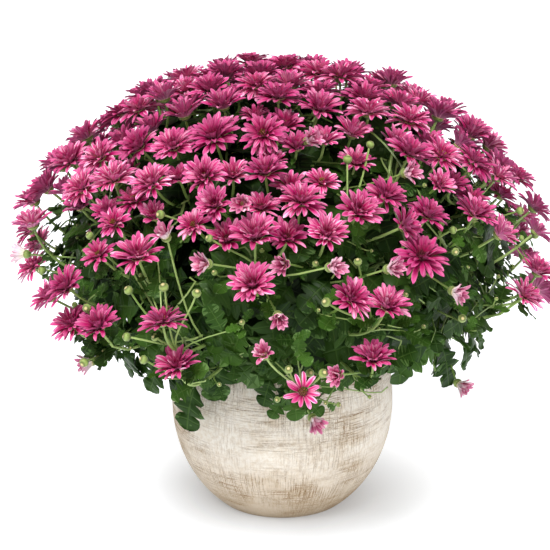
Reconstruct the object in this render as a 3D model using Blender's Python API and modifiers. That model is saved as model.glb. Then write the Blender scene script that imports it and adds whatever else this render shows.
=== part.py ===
"""A pot chrysanthemum in a bowl-shaped planter, at its real size: metres, +Z up, the pot's foot on Z = 0.

The front of the plant faces -Y. An azimuth is in degrees: 0 is the front, 90 is +X and 180 is the back.
Five leafy plants stand in the soil, and their flower heads form a dense crown with looser groups on the flanks.
"""

import math
import random
from dataclasses import dataclass

import bmesh
import bpy
import numpy as np
from mathutils import Matrix, Vector

# Pot, a bowl planter 22 cm wide
POT_RADIUS = 0.110
POT_HEIGHT = 0.165
BELLY_HEIGHT = 0.100
FOOT_RADIUS = 0.064
RIM_RADIUS = 0.099
RIM_ROUNDING = 0.0025
POT_WALL = 0.007
POT_FLOOR = 0.012
POT_STEPS = 20

# Soil
SOIL_EDGE_HEIGHT = 0.149
SOIL_MOUND = 0.006
SOIL_RELIEF = 0.0015
HOLE_DEPTH = 0.022
HOLE_CLEARANCE = 0.0006
HOLE_SIDES = 6

# Clear space between pieces that touch
GAP = 0.0003
SEAT_GAP = 0.0006
MERGE_DISTANCE = 0.00001

# Surface through the centres of the outermost flower heads
DOME_RADIUS = 0.250
DOME_MIDDLE = 0.262
DOME_RISE = 0.172
DOME_FALL = 0.175
DOME_POWER = 1.8

# Flower heads
PETALS_IN_A_LAYER = 5
HEAD_DEPTH = 0.2
DISC_LEVEL = -0.07
NEAR_HEADS = 0.065
HALF_OPEN_PETALS = 3
GOLDEN_ANGLE = math.pi * (3 - math.sqrt(5))

# Crown: heads spread evenly over the dome, each a little off its place
HEAD_SPACING_AREA = 0.00156
CROWN_SLICE = 0.0002
CROWN_LOWEST = 0.300
CROWN_RADII = (0.0225, 0.0250)
CROWN_SWING = 2
CROWN_LIFTS = (-0.006, 0.004)
CROWN_TILT = 8
CROWN_TURN = 12
OUTERMOST_RISE = 28
RISE_POWER = 1.3
NEAREST_HEADS = 0.034
HEADS_IN_A_CROWN_CLUSTER = 6
FRONT_WINDOW_AZIMUTH = 75
FRONT_WINDOW_TOP = 0.395

# Back: looser groups of three heads, low on the sides and back
BACK_CLUSTERS = 7
BACK_AZIMUTHS = (101, 261)
BACK_HEIGHTS = (0.255, 0.190, 0.225)
BACK_RISES = (20, 45)
BACK_SPREAD = 0.021
BACK_RADIUS = 0.023

# Leafy plants
PLANT_NAMES = ("front", "right", "back_right", "back_left", "left")
PLANT_ANGLE = 360 / len(PLANT_NAMES)
STEM_DISTANCE = 0.040
STEM_RADIUS = 0.0040
LEADER_TOP_DISTANCE = 0.055
LEADER_TOP = 0.232
LOWEST_FORK = 0.166
LOW_HEADS = 0.27
BRANCH_RADIUS = 0.0026
STALK_RADIUS = 0.0017
TIP_RADIUS = 0.0011
KNEES = (0, 0.010, 0.016, 0.022)
STALK_CLEARANCE = 0.0018
LONGEST_BUD_STALK = 0.16
BUD_RADII = (0.0038, 0.0048)
BUD_STALKS = (0.028, 0.055)
HALF_OPEN_RADIUS = 0.0085
HALF_OPEN_RISE = 35

# Leaves
LEAF_THICKNESS = 0.0036
LEAF_LENGTHS = (0.054, 0.068)
LEAF_COUNT = 60
LEAF_LEVELS = (-0.75, 0.80)
LEAF_ROOT_DEPTH = 0.012
LEAF_BORDER = 0.024
LEAF_CLEARANCE = 0.0022
LEAF_HUB = 0.35
LEAF_DROOP = 0.22
LEAF_FOLD = 0.12
LEAF_TRIES = 16
FURTHEST_LEAF = 0.252

# Leafy core of the bush, which the stems, leaves and flower stalks stand out of
CORE_RADIUS = 0.160
CORE_MIDDLE = 0.262
CORE_RISE = 0.105
CORE_FALL = 0.090
CORE_LUMPS = 0.04
CORE_COLUMNS = 20
CORE_ROWS = 7

# Heads placed by eye on the flanks, cluster by cluster. Each head has its azimuth, its height in millimetres,
# how far its face looks up in degrees, how far it turns to the right, and its radius in millimetres.
FLANK_CLUSTERS = (
    ((-73, 298, 55, -20, 24),),
    ((-88, 305, 45, -10, 23),),
    ((-57, 343, 45, 0, 24), (-48, 355, 50, 0, 24), (-61, 366, 40, 0, 23)),
    ((-49, 380, 30, 0, 23), (-36, 384, 35, 0, 23), (-35, 358, 25, 0, 23)),
    ((-24, 393, 45, 0, 26), (-21, 367, 30, 0, 23), (-16, 348, 15, 0, 22)),
    ((-7, 397, 25, 0, 23), (-5, 372, 55, 0, 22)),
    ((-6, 327, 60, 0, 26), (-6, 291, 35, -20, 24)),
    ((-31, 305, 50, 0, 25), (-41, 300, 40, 0, 18), (-40, 326, 25, 0, 18)),
    ((-56, 250, 10, -30, 23), (-49, 266, 40, -10, 23)),
    ((4, 352, 55, 0, 25),),
    ((9, 328, 20, 0, 23), (17, 343, 40, 0, 25), (25, 352, 40, 0, 22), (27, 330, 15, 30, 22)),
    ((40, 378, 60, 0, 24), (51, 372, 45, 0, 23), (42, 354, 20, 0, 18)),
    ((63, 361, 45, 0, 23), (69, 345, 45, 0, 23)),
    ((87, 300, 35, 0, 23), (92, 325, 50, 0, 23)),
    ((48, 328, 40, 10, 23), (53, 308, 25, 30, 22)),
    ((29, 306, 45, 0, 26), (34, 335, 50, 20, 22)),
    ((13, 279, 30, 30, 22), (20, 270, 50, 0, 23)),
    ((-24, 255, 80, 0, 22),),
    ((-49, 231, 40, -10, 23), (-40, 238, 50, 0, 23)),
    ((-22, 213, 50, 0, 23),),
    ((18, 223, 60, 0, 22),),
    ((4, 193, 20, 0, 18),),
    ((73, 292, 20, 20, 19), (70, 257, 40, 0, 23), (61, 245, 40, 0, 22), (78, 230, 10, 40, 22)),
)

# Half-open flowers placed by eye: azimuth and height in millimetres
HALF_OPEN_FLOWERS = (
    (-80, 263),
    (-92, 330),
    (-25, 322),
    (-16, 306),
    (-12, 312),
    (-9, 346),
    (9, 393),
    (31, 362),
    (12, 357),
    (0, 308),
    (21, 298),
    (36, 296),
    (9, 300),
    (36, 273),
    (-1, 266),
    (-50, 190),
    (11, 210),
    (8, 153),
    (60, 150),
    (-4, 233),
    (43, 320),
)


def empty_the_scene():
    """Remove whatever the file holds, so that only this model is left."""
    for item in list(bpy.data.objects):
        bpy.data.objects.remove(item, do_unlink=True)


def new_collection(name):
    """A collection of the scene."""
    collection = bpy.data.collections.new(name)
    bpy.context.scene.collection.children.link(collection)
    return collection


def material(name, colour, roughness):
    """A Principled material with one colour and roughness."""
    made = bpy.data.materials.new(name)
    made.use_nodes = True
    shader = made.node_tree.nodes["Principled BSDF"]
    shader.inputs["Base Color"].default_value = (*colour, 1.0)
    shader.inputs["Roughness"].default_value = roughness
    shader.inputs["Metallic"].default_value = 0.0
    return made


def outwards(azimuth):
    """Horizontal unit vector away from the pot's axis at an azimuth in degrees."""
    angle = math.radians(azimuth)
    return Vector((math.sin(angle), -math.cos(angle), 0.0))


def azimuth_of(point):
    """Azimuth of a point in degrees, between -180 and 180."""
    return math.degrees(math.atan2(point[0], -point[1]))


def dome_radius(height):
    """Distance of the flower heads' centres from the axis at a height."""
    if height > DOME_MIDDLE:
        share = min(1.0, (height - DOME_MIDDLE) / DOME_RISE)
        return DOME_RADIUS * (1 - share**DOME_POWER) ** (1 / DOME_POWER)
    share = min(1.0, (DOME_MIDDLE - height) / DOME_FALL)
    return DOME_RADIUS * math.sqrt(1 - share * share)


def dome_point(azimuth, height):
    """The point of the dome at an azimuth and height."""
    return outwards(azimuth) * dome_radius(height) + Vector((0, 0, height))


def pot_radius(height):
    """Outer radius of the pot: two half ellipses that meet at the belly."""
    if height < BELLY_HEIGHT:
        reach = BELLY_HEIGHT / math.sqrt(1 - (FOOT_RADIUS / POT_RADIUS) ** 2)
    else:
        reach = (POT_HEIGHT - BELLY_HEIGHT) / math.sqrt(1 - (RIM_RADIUS / POT_RADIUS) ** 2)
    return POT_RADIUS * math.sqrt(1 - ((height - BELLY_HEIGHT) / reach) ** 2)


# Flower heads and their clusters


@dataclass(eq=False)
class Head:
    """A flower head: its centre, the way it faces, its radius, and the head of its cluster that it holds to."""

    centre: Vector
    axis: Vector
    radius: float
    parent: object = None

    def seat(self):
        """Where the top of its stalk stands, a gap below its underside."""
        return self.centre - self.axis * (HEAD_DEPTH * self.radius + SEAT_GAP)


def facing(azimuth, rise):
    """Unit vector that points along an azimuth and up by an angle in degrees."""
    angle = math.radians(rise)
    return outwards(azimuth) * math.cos(angle) + Vector((0, 0, math.sin(angle)))


def flank_head(azimuth, height, rise, turn, radius):
    """A head placed by eye on the dome."""
    centre = dome_point(azimuth, height / 1000)
    return Head(centre, facing(azimuth + turn, rise), radius / 1000)


def crown_heights():
    """Heights that split the crown, from the top down, into rings of one head's area each."""
    heights = []
    area = 0.0
    height = DOME_MIDDLE + DOME_RISE
    while height > CROWN_LOWEST:
        radius = dome_radius(height - CROWN_SLICE)
        slant = math.hypot(CROWN_SLICE, radius - dome_radius(height))
        area += 2 * math.pi * radius * slant
        if area > HEAD_SPACING_AREA * (len(heights) + 0.5):
            heights.append(height)
        height -= CROWN_SLICE
    return heights


def in_front_window(azimuth, height):
    """Whether a place lies in the part of the front where the heads are placed by eye."""
    return abs(azimuth) < FRONT_WINDOW_AZIMUTH and height < FRONT_WINDOW_TOP


def crown_heads(taken, rng):
    """Heads spread over the crown by the golden angle, each a little off its place, and clear of those taken."""
    heads = []
    for index, height in enumerate(crown_heights()):
        azimuth = math.degrees(index * GOLDEN_ANGLE) % 360 - 180
        azimuth += rng.uniform(-CROWN_SWING, CROWN_SWING)
        lift = rng.uniform(*CROWN_LIFTS)
        outward = (dome_radius(height) / DOME_RADIUS) ** RISE_POWER
        rise = 90 + (OUTERMOST_RISE - 90) * outward + rng.uniform(-CROWN_TILT, CROWN_TILT)
        turn = rng.uniform(-CROWN_TURN, CROWN_TURN)
        radius = rng.uniform(*CROWN_RADII)
        centre = dome_point(azimuth, height) + facing(azimuth, rise) * lift
        crowded = any((centre - other.centre).length < NEAREST_HEADS for other in taken)
        if not in_front_window(azimuth, height) and not crowded:
            heads.append(Head(centre, facing(azimuth + turn, rise), radius))
    return heads


def plant_of(point):
    """Index of the plant whose sector holds a point."""
    return round((azimuth_of(point) % 360) / PLANT_ANGLE) % len(PLANT_NAMES)


def middle(points):
    """Mean of some points."""
    total = Vector((0, 0, 0))
    for point in points:
        total += point
    return total / len(points)


def even_clusters(heads, count, rounds=30):
    """Split heads into clusters of nearly equal size, each round its own middle."""
    ordered = sorted(heads, key=lambda head: head.centre.z)
    size = len(ordered) / count
    clusters = [ordered[round(i * size) : round((i + 1) * size)] for i in range(count)]
    most = math.ceil(size)
    for _ in range(rounds):
        middles = [middle([head.centre for head in cluster]) for cluster in clusters]
        choices = []
        for head in ordered:
            away = sorted(range(count), key=lambda i: (head.centre - middles[i]).length)
            regret = (head.centre - middles[away[-1]]).length - (head.centre - middles[away[0]]).length
            choices.append((-regret, len(choices), head, away))
        clusters = [[] for _ in range(count)]
        for _, _, head, away in sorted(choices, key=lambda choice: choice[:2]):
            nearest = next(i for i in away if len(clusters[i]) < most)
            clusters[nearest].append(head)
    return clusters


def draw_together(cluster, share=0.1):
    """Move a cluster's heads a little towards its middle, so that their petals meet."""
    centre = middle([head.centre for head in cluster])
    for head in cluster:
        head.centre = head.centre.lerp(centre, share)


def back_clusters(rng):
    """Looser groups of three heads, low on the sides and back, by a rule."""
    clusters = []
    first, last = BACK_AZIMUTHS
    for index in range(BACK_CLUSTERS):
        azimuth = first + (last - first) * index / (BACK_CLUSTERS - 1) + rng.uniform(-5, 5)
        height = BACK_HEIGHTS[index % len(BACK_HEIGHTS)] + rng.uniform(-0.008, 0.008)
        rise = rng.uniform(*BACK_RISES)
        turn = rng.uniform(-12, 12)
        cluster = []
        for corner in range(3):
            angle = math.radians(90 + 120 * corner + rng.uniform(-25, 25))
            side = azimuth + math.degrees(BACK_SPREAD * math.cos(angle) / dome_radius(height))
            centre = dome_point(side, height + BACK_SPREAD * math.sin(angle))
            way = facing(side + turn + rng.uniform(-8, 8), rise + rng.uniform(-6, 6))
            cluster.append(Head(centre, way, BACK_RADIUS))
        clusters.append(cluster)
    return clusters


def link(cluster):
    """Give each head but one a parent: the nearest head of its cluster that is linked already."""
    centre = middle([head.centre for head in cluster])
    linked = [min(cluster, key=lambda head: (head.centre - centre).length)]
    waiting = [head for head in cluster if head is not linked[0]]
    while waiting:
        pairs = [(head, other) for head in waiting for other in linked]
        head, other = min(pairs, key=lambda pair: (pair[0].centre - pair[1].centre).length)
        head.parent = other
        linked.append(head)
        waiting.remove(head)


def all_clusters():
    """Every cluster of heads as (where it sits, its plant, its heads)."""
    rng = random.Random(11)
    flanks = [[flank_head(*head) for head in cluster] for cluster in FLANK_CLUSTERS]
    placed = [head for cluster in flanks for head in cluster]
    crown = crown_heads(placed, rng)
    found = []
    for plant in range(len(PLANT_NAMES)):
        own = [head for head in crown if plant_of(head.centre) == plant]
        count = max(1, round(len(own) / HEADS_IN_A_CROWN_CLUSTER))
        for cluster in even_clusters(own, count):
            draw_together(cluster)
            found.append(("crown", plant, cluster))
    for cluster in flanks:
        found.append(("flank", plant_of(middle([head.centre for head in cluster])), cluster))
    for cluster in back_clusters(rng):
        found.append(("back", plant_of(middle([head.centre for head in cluster])), cluster))
    for _, _, cluster in found:
        link(cluster)
    return found


# Leafy plants: where their stems, leaves, buds and half-open flowers go


@dataclass(eq=False)
class Stick:
    """A stem, branch or stalk: its points from root to tip, its radius at each, and the head it ends under."""

    points: list
    radii: list
    head: object = None


@dataclass(eq=False)
class Leaf:
    """A leaf: where it starts, the ways its midrib and its upper face point, and its length."""

    root: Vector
    along: Vector
    up: Vector
    length: float


@dataclass(eq=False)
class Bud:
    """A bud or a half-open flower: its lowest point, its axis and its radius."""

    seat: Vector
    axis: Vector
    radius: float
    half_open: bool


class Plant:
    """What one rooted plant carries."""

    def __init__(self, index):
        self.index = index
        self.azimuth = index * PLANT_ANGLE
        self.leader = None
        self.branches = []
        self.stalks = []
        self.leaves = []
        self.buds = []

    def sticks(self):
        """Every stem, branch and stalk."""
        return [self.leader, *self.branches, *self.stalks]


class Space:
    """What is already taken, kept as numbers for quick tests of a few sample points."""

    def __init__(self, heads):
        self.centres = np.array([head.centre for head in heads])
        self.axes = np.array([head.axis for head in heads])
        self.radii = np.array([head.radius for head in heads])
        self.starts = np.zeros((0, 3))
        self.ends = np.zeros((0, 3))
        self.widths = np.zeros(0)
        self.owners = np.zeros(0)
        self.blobs = np.zeros((0, 3))

    def add_stick(self, stick, owner):
        """Take the room of a stem."""
        for start, end, radius in zip(stick.points, stick.points[1:], stick.radii):
            self.starts = np.vstack((self.starts, start))
            self.ends = np.vstack((self.ends, end))
            self.widths = np.append(self.widths, radius)
            self.owners = np.append(self.owners, owner)

    def add_blob(self, points):
        """Take the room round the sample points of a leaf, bud or flower."""
        self.blobs = np.vstack((self.blobs, points))

    def free_of_heads(self, points, margin):
        """Whether no sample point is in or near a flower head."""
        apart = points[:, None, :] - self.centres[None]
        along = (apart * self.axes).sum(axis=2)
        across = np.sqrt(np.maximum(0, (apart**2).sum(axis=2) - along**2))
        level = (along > -0.25 * self.radii - margin) & (along < 0.4 * self.radii + margin)
        return not (level & (across < 1.05 * self.radii + margin)).any()

    def free_of_stems(self, points, margin, owner=None):
        """Whether no sample point is near a stem, or near one of another plant if an owner is given."""
        chosen = self.owners != owner
        if not chosen.any():
            return True
        run = self.ends[chosen] - self.starts[chosen]
        apart = points[:, None, :] - self.starts[chosen][None]
        share = np.clip((apart * run).sum(axis=2) / (run**2).sum(axis=1), 0, 1)
        distance = np.linalg.norm(apart - share[..., None] * run, axis=2)
        return bool((distance > self.widths[chosen] + margin).all())

    def free_of_blobs(self, points, margin):
        """Whether no sample point is near a leaf, bud or flower."""
        if len(self.blobs) == 0:
            return True
        distance = np.linalg.norm(points[:, None, :] - self.blobs[None], axis=2)
        return bool((distance > margin).all())


def free_of_pot(points, margin):
    """Whether every sample point is off the pot and the soil."""
    for x, y, z in points:
        distance = math.hypot(x, y)
        if z < POT_HEIGHT + margin and distance < RIM_RADIUS + margin:
            return False
        if z < POT_HEIGHT and distance < pot_radius(z) + margin:
            return False
    return True


def samples(start, end, skip_start=0.0, skip_end=0.0, step=0.003):
    """Points along a straight stretch, without its first and last bit."""
    length = (end - start).length
    count = max(2, math.ceil(length / step))
    shares = [i / count for i in range(count + 1)]
    kept = [share for share in shares if skip_start <= share * length <= length - skip_end]
    return np.array([start.lerp(end, share) for share in kept] or [end])


def bezier(a, b, c, d, share):
    """Point of a cubic curve."""
    rest = 1 - share
    return a * rest**3 + b * (3 * share * rest**2) + c * (3 * share**2 * rest) + d * share**3


def point_along(points, share):
    """Point at a share of a broken line's length."""
    lengths = [(b - a).length for a, b in zip(points, points[1:])]
    left = share * sum(lengths)
    for a, b, length in zip(points, points[1:], lengths):
        if left <= length:
            return a.lerp(b, left / length)
        left -= length
    return points[-1].copy()


def soil_height(x, y):
    """Height of the soil's surface: a low mound with a slight relief."""
    share = math.hypot(x, y) / (RIM_RADIUS - POT_WALL)
    bumps = math.sin(90 * x + 1) * math.cos(75 * y) + 0.5 * math.sin(160 * y + 2)
    return SOIL_EDGE_HEIGHT + SOIL_MOUND * max(0, 1 - share * share) + SOIL_RELIEF * bumps * (1 - share**4)


def stem_foot(azimuth):
    """Where a plant's stem enters the soil."""
    place = outwards(azimuth) * STEM_DISTANCE
    place.z = soil_height(place.x, place.y)
    return place


def leader_of(azimuth):
    """The upright stem of a plant, from its hole in the soil to its last fork."""
    foot = stem_foot(azimuth)
    bottom = foot - Vector((0, 0, HOLE_DEPTH - GAP))
    fork = foot * 1.0
    fork.z = LOWEST_FORK
    top = outwards(azimuth) * LEADER_TOP_DISTANCE
    top.z = LEADER_TOP
    return Stick([bottom, fork, top], [STEM_RADIUS, STEM_RADIUS, 0.75 * STEM_RADIUS])


def branch_to(head, fork, spare):
    """A branch that leaves the leader upwards and ends under a head, along the head's axis.

    A low head's branch has spare length, so that it arches over the rim.
    """
    end = head.seat()
    span = (end - fork).length
    lean = outwards(azimuth_of(end)) * 0.14 * span
    rise = Vector((0, 0, (0.22 + spare) * span)) + lean
    shares = (0, 0.35, 0.7, 1) if spare else (0, 0.55, 1)
    points = [bezier(fork, fork + rise, end - head.axis * 0.35 * span, end, share) for share in shares]
    radii = [BRANCH_RADIUS + (TIP_RADIUS - BRANCH_RADIUS) * share for share in shares]
    return Stick(points, radii, head)


def stalk_to(head, branch, lowest, space):
    """A stalk from the branch to a head: straight if it can be, else with a knee, or none if others are in its way."""
    seat = head.seat()
    for knee in KNEES:
        for drop in range(9):
            root = point_along(branch.points, lowest - 0.03 * drop)
            points = [root, seat] if knee == 0 else [root, seat - head.axis * knee, seat]
            straight = (points[-1] - points[-2]).normalized().dot(head.axis) > 0.5
            checked = np.vstack([samples(a, b) for a, b in zip(points, points[1:])])
            checked = checked[np.linalg.norm(checked - np.array(seat), axis=1) > 0.0045]
            if straight and len(checked) and space.free_of_heads(checked, STALK_CLEARANCE):
                return Stick(points, [STALK_RADIUS, STALK_RADIUS, TIP_RADIUS][-len(points) :], head)
    return None


def stalks_to(cluster, branch, space):
    """Stalks for the heads of a cluster that its branch doesn't reach: the outer ones root lower.

    The petals of a cluster's heads hold together, so in a dense cluster one stalk carries the rest.
    """
    rest = [head for head in cluster if head is not branch.head]
    rest.sort(key=lambda head: (head.centre - branch.head.centre).length)
    if len(rest) > 3:
        rest = rest[-1:]
    stalks = [stalk_to(head, branch, 0.92 - 0.05 * order, space) for order, head in enumerate(rest)]
    return [stalk for stalk in stalks if stalk]


def turned(vector, axis, degrees):
    """A vector turned about an axis."""
    return Matrix.Rotation(math.radians(degrees), 3, axis) @ vector


def leaf_outline(length):
    """Outline of a lobed leaf, from its tip round by its left edge to its base and back, as (along, across)."""
    left = ((0.72, 0.18), (0.62, 0.36), (0.42, 0.16), (0.25, 0.31))
    right = [(along, -across) for along, across in reversed(left)]
    return [(length * a, length * b) for a, b in ((1, 0), *left, (0, 0), *right)]


def leaf_point(leaf, along, across, thick=0.0):
    """A point of a leaf in the world: it droops along its midrib and its edges rise a little."""
    share = along / leaf.length
    level = LEAF_FOLD * abs(across) - LEAF_DROOP * leaf.length * share * share + thick
    side = leaf.up.cross(leaf.along)
    return leaf.root + leaf.along * along + side * across + leaf.up * level


def leaf_samples(leaf):
    """Points all over a leaf, for the tests of room."""
    points = []
    hub = (LEAF_HUB * leaf.length, 0.0)
    outline = leaf_outline(leaf.length)
    for start, end in zip(outline, outline[1:] + outline[:1]):
        for share in (0.0, 0.33, 0.67):
            edge = (start[0] + (end[0] - start[0]) * share, start[1] + (end[1] - start[1]) * share)
            for out in (0.35, 0.7, 1.0):
                spot = (hub[0] + (edge[0] - hub[0]) * out, hub[1] + (edge[1] - hub[1]) * out)
                points.append(leaf_point(leaf, *spot))
    return np.array(points)


def free_of_core(points, margin):
    """Whether every sample point is outside the leafy core."""
    for point in points:
        level = (point[2] - CORE_MIDDLE) / (CORE_RISE if point[2] > CORE_MIDDLE else CORE_FALL)
        if abs(level) < 1 and math.hypot(point[0], point[1]) < core_reach(azimuth_of(point), level) + margin:
            return False
    return True


def has_room(points, root, space, margin):
    """Whether the sample points that are not at the root are clear of all that is taken."""
    beyond = points[np.linalg.norm(points - np.array(root), axis=1) > 0.022]
    if not free_of_pot(beyond, 0.002) or not space.free_of_heads(points, margin):
        return False
    if not free_of_core(beyond, 0.002):
        return False
    return space.free_of_stems(beyond, margin) and space.free_of_blobs(beyond, 0.004)


def core_reach(azimuth, level):
    """Distance of the lumpy surface of the core from the axis, level running from -1 at its bottom to 1 at its top."""
    turn = math.radians(azimuth)
    lumps = math.sin(3 * turn) * math.sin(4 * level) + math.sin(5 * turn + 3 * level)
    return CORE_RADIUS * (1 + CORE_LUMPS * lumps) * math.sqrt(max(0, 1 - level * level))


def core_point(azimuth, level):
    """Point of the leafy core at an azimuth and level."""
    height = CORE_MIDDLE + level * (CORE_RISE if level > 0 else CORE_FALL)
    return outwards(azimuth) * core_reach(azimuth, level) + Vector((0, 0, height))


def grow_leaves(plants, space, rng):
    """Leaves spread evenly over the core of the plants, each where there is room and turned its own way."""
    for index in range(LEAF_COUNT):
        level = LEAF_LEVELS[0] + (LEAF_LEVELS[1] - LEAF_LEVELS[0]) * (index + 0.5) / LEAF_COUNT
        azimuth = math.degrees(index * GOLDEN_ANGLE) % 360 - 180
        owner = plants[plant_of(outwards(azimuth))].azimuth
        reach = core_reach(azimuth, level)
        limit = PLANT_ANGLE / 2 - math.degrees(LEAF_BORDER / reach)
        azimuth = owner + max(-limit, min(limit, (azimuth - owner + 180) % 360 - 180))
        surface = core_point(azimuth, level)
        normal = facing(azimuth, math.degrees(math.asin(level)))
        root = surface - normal * LEAF_ROOT_DEPTH
        plant = plants[plant_of(surface)]
        for attempt in range(LEAF_TRIES):
            spread = rng.uniform(0.2, 0.9) + 0.03 * attempt
            side = turned(normal.orthogonal().normalized(), normal, rng.uniform(0, 360))
            along = (normal + side * spread).normalized()
            skyward = Vector((0, 0, 1)) + outwards(azimuth) * 0.6
            up = (skyward - along * skyward.dot(along)).normalized()
            leaf = Leaf(root, along, up, rng.uniform(*LEAF_LENGTHS) - 0.0008 * attempt)
            points = leaf_samples(leaf)
            inside = np.linalg.norm(points[:, :2], axis=1).max() < FURTHEST_LEAF
            if inside and has_room(points, root, space, LEAF_CLEARANCE):
                plant.leaves.append(leaf)
                space.add_blob(points)
                break


def bud_samples(bud):
    """Points round a bud, for the tests of room."""
    middle_point = bud.seat + bud.axis * bud.radius
    around = [bud.axis, -bud.axis]
    for quarter in range(4):
        around.append(turned(bud.axis.orthogonal().normalized(), bud.axis, 90 * quarter))
    return np.array([middle_point + way * bud.radius for way in around])


def grow_bud(plant, bud, root, space):
    """Add a bud or half-open flower on a straight stalk, if both have room."""
    reach = (bud.seat - root).length
    stalk_points = samples(root, bud.seat, skip_start=0.006)
    around = bud_samples(bud)
    free = space.free_of_heads(np.vstack((stalk_points, around)), STALK_CLEARANCE)
    free = free and space.free_of_stems(stalk_points, 0.0020, plant.index)
    free = free and space.free_of_stems(around, 0.0015) and space.free_of_blobs(around, bud.radius + 0.002)
    free = free and space.free_of_blobs(stalk_points, 0.0045)
    if not free or reach > LONGEST_BUD_STALK:
        return False
    tip = bud.seat + bud.axis * (0.35 * bud.radius)
    stalk = Stick([root, tip], [TIP_RADIUS, TIP_RADIUS])
    plant.stalks.append(stalk)
    plant.buds.append(bud)
    space.add_stick(stalk, plant.index)
    space.add_blob(around)
    return True


def grow_half_open(plant, azimuth, height, space):
    """A half-open flower at a place of the dome, on a stalk from the plant's nearest branch that can reach it."""
    place = dome_point(azimuth, height / 1000)
    outward = facing(azimuth, HALF_OPEN_RISE)
    choices = []
    for branch in plant.branches:
        for share in (0.35, 0.45, 0.55, 0.65, 0.75, 0.85, 0.95):
            root = point_along(branch.points, share)
            choices.append(((place - root).length, len(choices), root))
    for lift in (0.0, 0.008, 0.016):
        for _, _, root in sorted(choices, key=lambda choice: choice[:2]):
            way = (place - root).normalized()
            axis = (way + outward).normalized()
            bud = Bud(place + outward * lift - axis * HALF_OPEN_RADIUS, axis, HALF_OPEN_RADIUS, True)
            if grow_bud(plant, bud, root, space):
                return


def grow_buds(plant, branch, count, space, rng):
    """Round buds on stalks beside a cluster of heads."""
    for _ in range(count):
        for _ in range(12):
            share = rng.uniform(0.6, 0.95)
            root = point_along(branch.points, share)
            way = (branch.points[-1] - branch.points[-2]).normalized()
            side = turned(way.orthogonal().normalized(), way, rng.uniform(0, 360))
            slant = (way + side * rng.uniform(0.35, 0.9)).normalized()
            seat = root + slant * rng.uniform(*BUD_STALKS)
            inside = math.hypot(seat.x, seat.y) < dome_radius(seat.z) - 0.03
            bud = Bud(seat, slant, rng.uniform(*BUD_RADII), False)
            if not inside and grow_bud(plant, bud, root, space):
                break


def grow_plants(clusters):
    """All the leafy plants that carry the clusters of heads."""
    rng = random.Random(23)
    space = Space([head for _, _, cluster in clusters for head in cluster])
    plants = [Plant(index) for index in range(len(PLANT_NAMES))]
    for plant in plants:
        plant.leader = leader_of(plant.azimuth)
        own = [cluster for _, owner, cluster in clusters if owner == plant.index]
        own.sort(key=lambda cluster: middle([head.centre for head in cluster]).z)
        for order, cluster in enumerate(own):
            share = 0.02 + 0.96 * order / (len(own) - 1)
            fork = plant.leader.points[1].lerp(plant.leader.points[2], share)
            inner = next(head for head in cluster if head.parent is None)
            branch = branch_to(inner, fork, 0.15 if inner.centre.z < LOW_HEADS else 0.0)
            plant.branches.append(branch)
            plant.stalks.extend(stalks_to(cluster, branch, space))
        for stick in plant.sticks():
            space.add_stick(stick, plant.index)
    for azimuth, height in HALF_OPEN_FLOWERS:
        grow_half_open(plants[plant_of(dome_point(azimuth, height / 1000))], azimuth, height, space)
    for plant in plants:
        for branch in plant.branches[::3]:
            grow_buds(plant, branch, 1, space, rng)
    grow_leaves(plants, space, rng)
    return plants


# Solids


def as_object(shape, name, collection):
    """An object made from a bmesh."""
    mesh = bpy.data.meshes.new(name)
    shape.to_mesh(mesh)
    shape.free()
    thing = bpy.data.objects.new(name, mesh)
    collection.objects.link(thing)
    return thing


def drop_flaps(shape):
    """Remove triangles that lie back to back on the same three corners, and so enclose nothing."""
    shape.verts.index_update()
    on_corners = {}
    for face in shape.faces:
        on_corners.setdefault(frozenset(vertex.index for vertex in face.verts), []).append(face)
    flaps = [face for faces in on_corners.values() if len(faces) == 2 for face in faces]
    bmesh.ops.delete(shape, geom=flaps, context="FACES")


def split_into_triangles(mesh):
    """Split a joined body's faces into triangles and drop those that enclose nothing."""
    shape = bmesh.new()
    shape.from_mesh(mesh)
    bmesh.ops.triangulate(shape, faces=shape.faces)
    bmesh.ops.dissolve_degenerate(shape, dist=MERGE_DISTANCE / 10, edges=shape.edges)
    bmesh.ops.triangulate(shape, faces=shape.faces)
    drop_flaps(shape)
    shape.to_mesh(mesh)
    shape.free()


def join(name, pieces, collection, surface):
    """One body out of pieces that cross each other: a Boolean union on a collection, applied.

    The exact solver is slow on pieces with such sharp tips, so the union uses the manifold one.
    """
    if len(pieces) == 1:
        mesh = pieces[0].data
    else:
        others = new_collection(name + "_pieces")
        for piece in pieces[1:]:
            piece.users_collection[0].objects.unlink(piece)
            others.objects.link(piece)
        union = pieces[0].modifiers.new("union", "BOOLEAN")
        union.operation = "UNION"
        union.operand_type = "COLLECTION"
        union.collection = others
        union.solver = "MANIFOLD"
        depsgraph = bpy.context.evaluated_depsgraph_get()
        mesh = bpy.data.meshes.new_from_object(pieces[0].evaluated_get(depsgraph))
        for piece in list(others.objects):
            bpy.data.objects.remove(piece, do_unlink=True)
        bpy.data.collections.remove(others)
        split_into_triangles(mesh)
    bpy.data.objects.remove(pieces[0], do_unlink=True)
    body = bpy.data.objects.new(name, mesh)
    mesh.materials.clear()
    mesh.materials.append(surface)
    collection.objects.link(body)
    return body


def ring_of(vertex):
    """Distance from the axis of a vertex of a fresh sphere, and its angle from the sphere's first vertex."""
    return math.hypot(vertex.co.x, vertex.co.y), math.atan2(-vertex.co.x, vertex.co.y)


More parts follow.
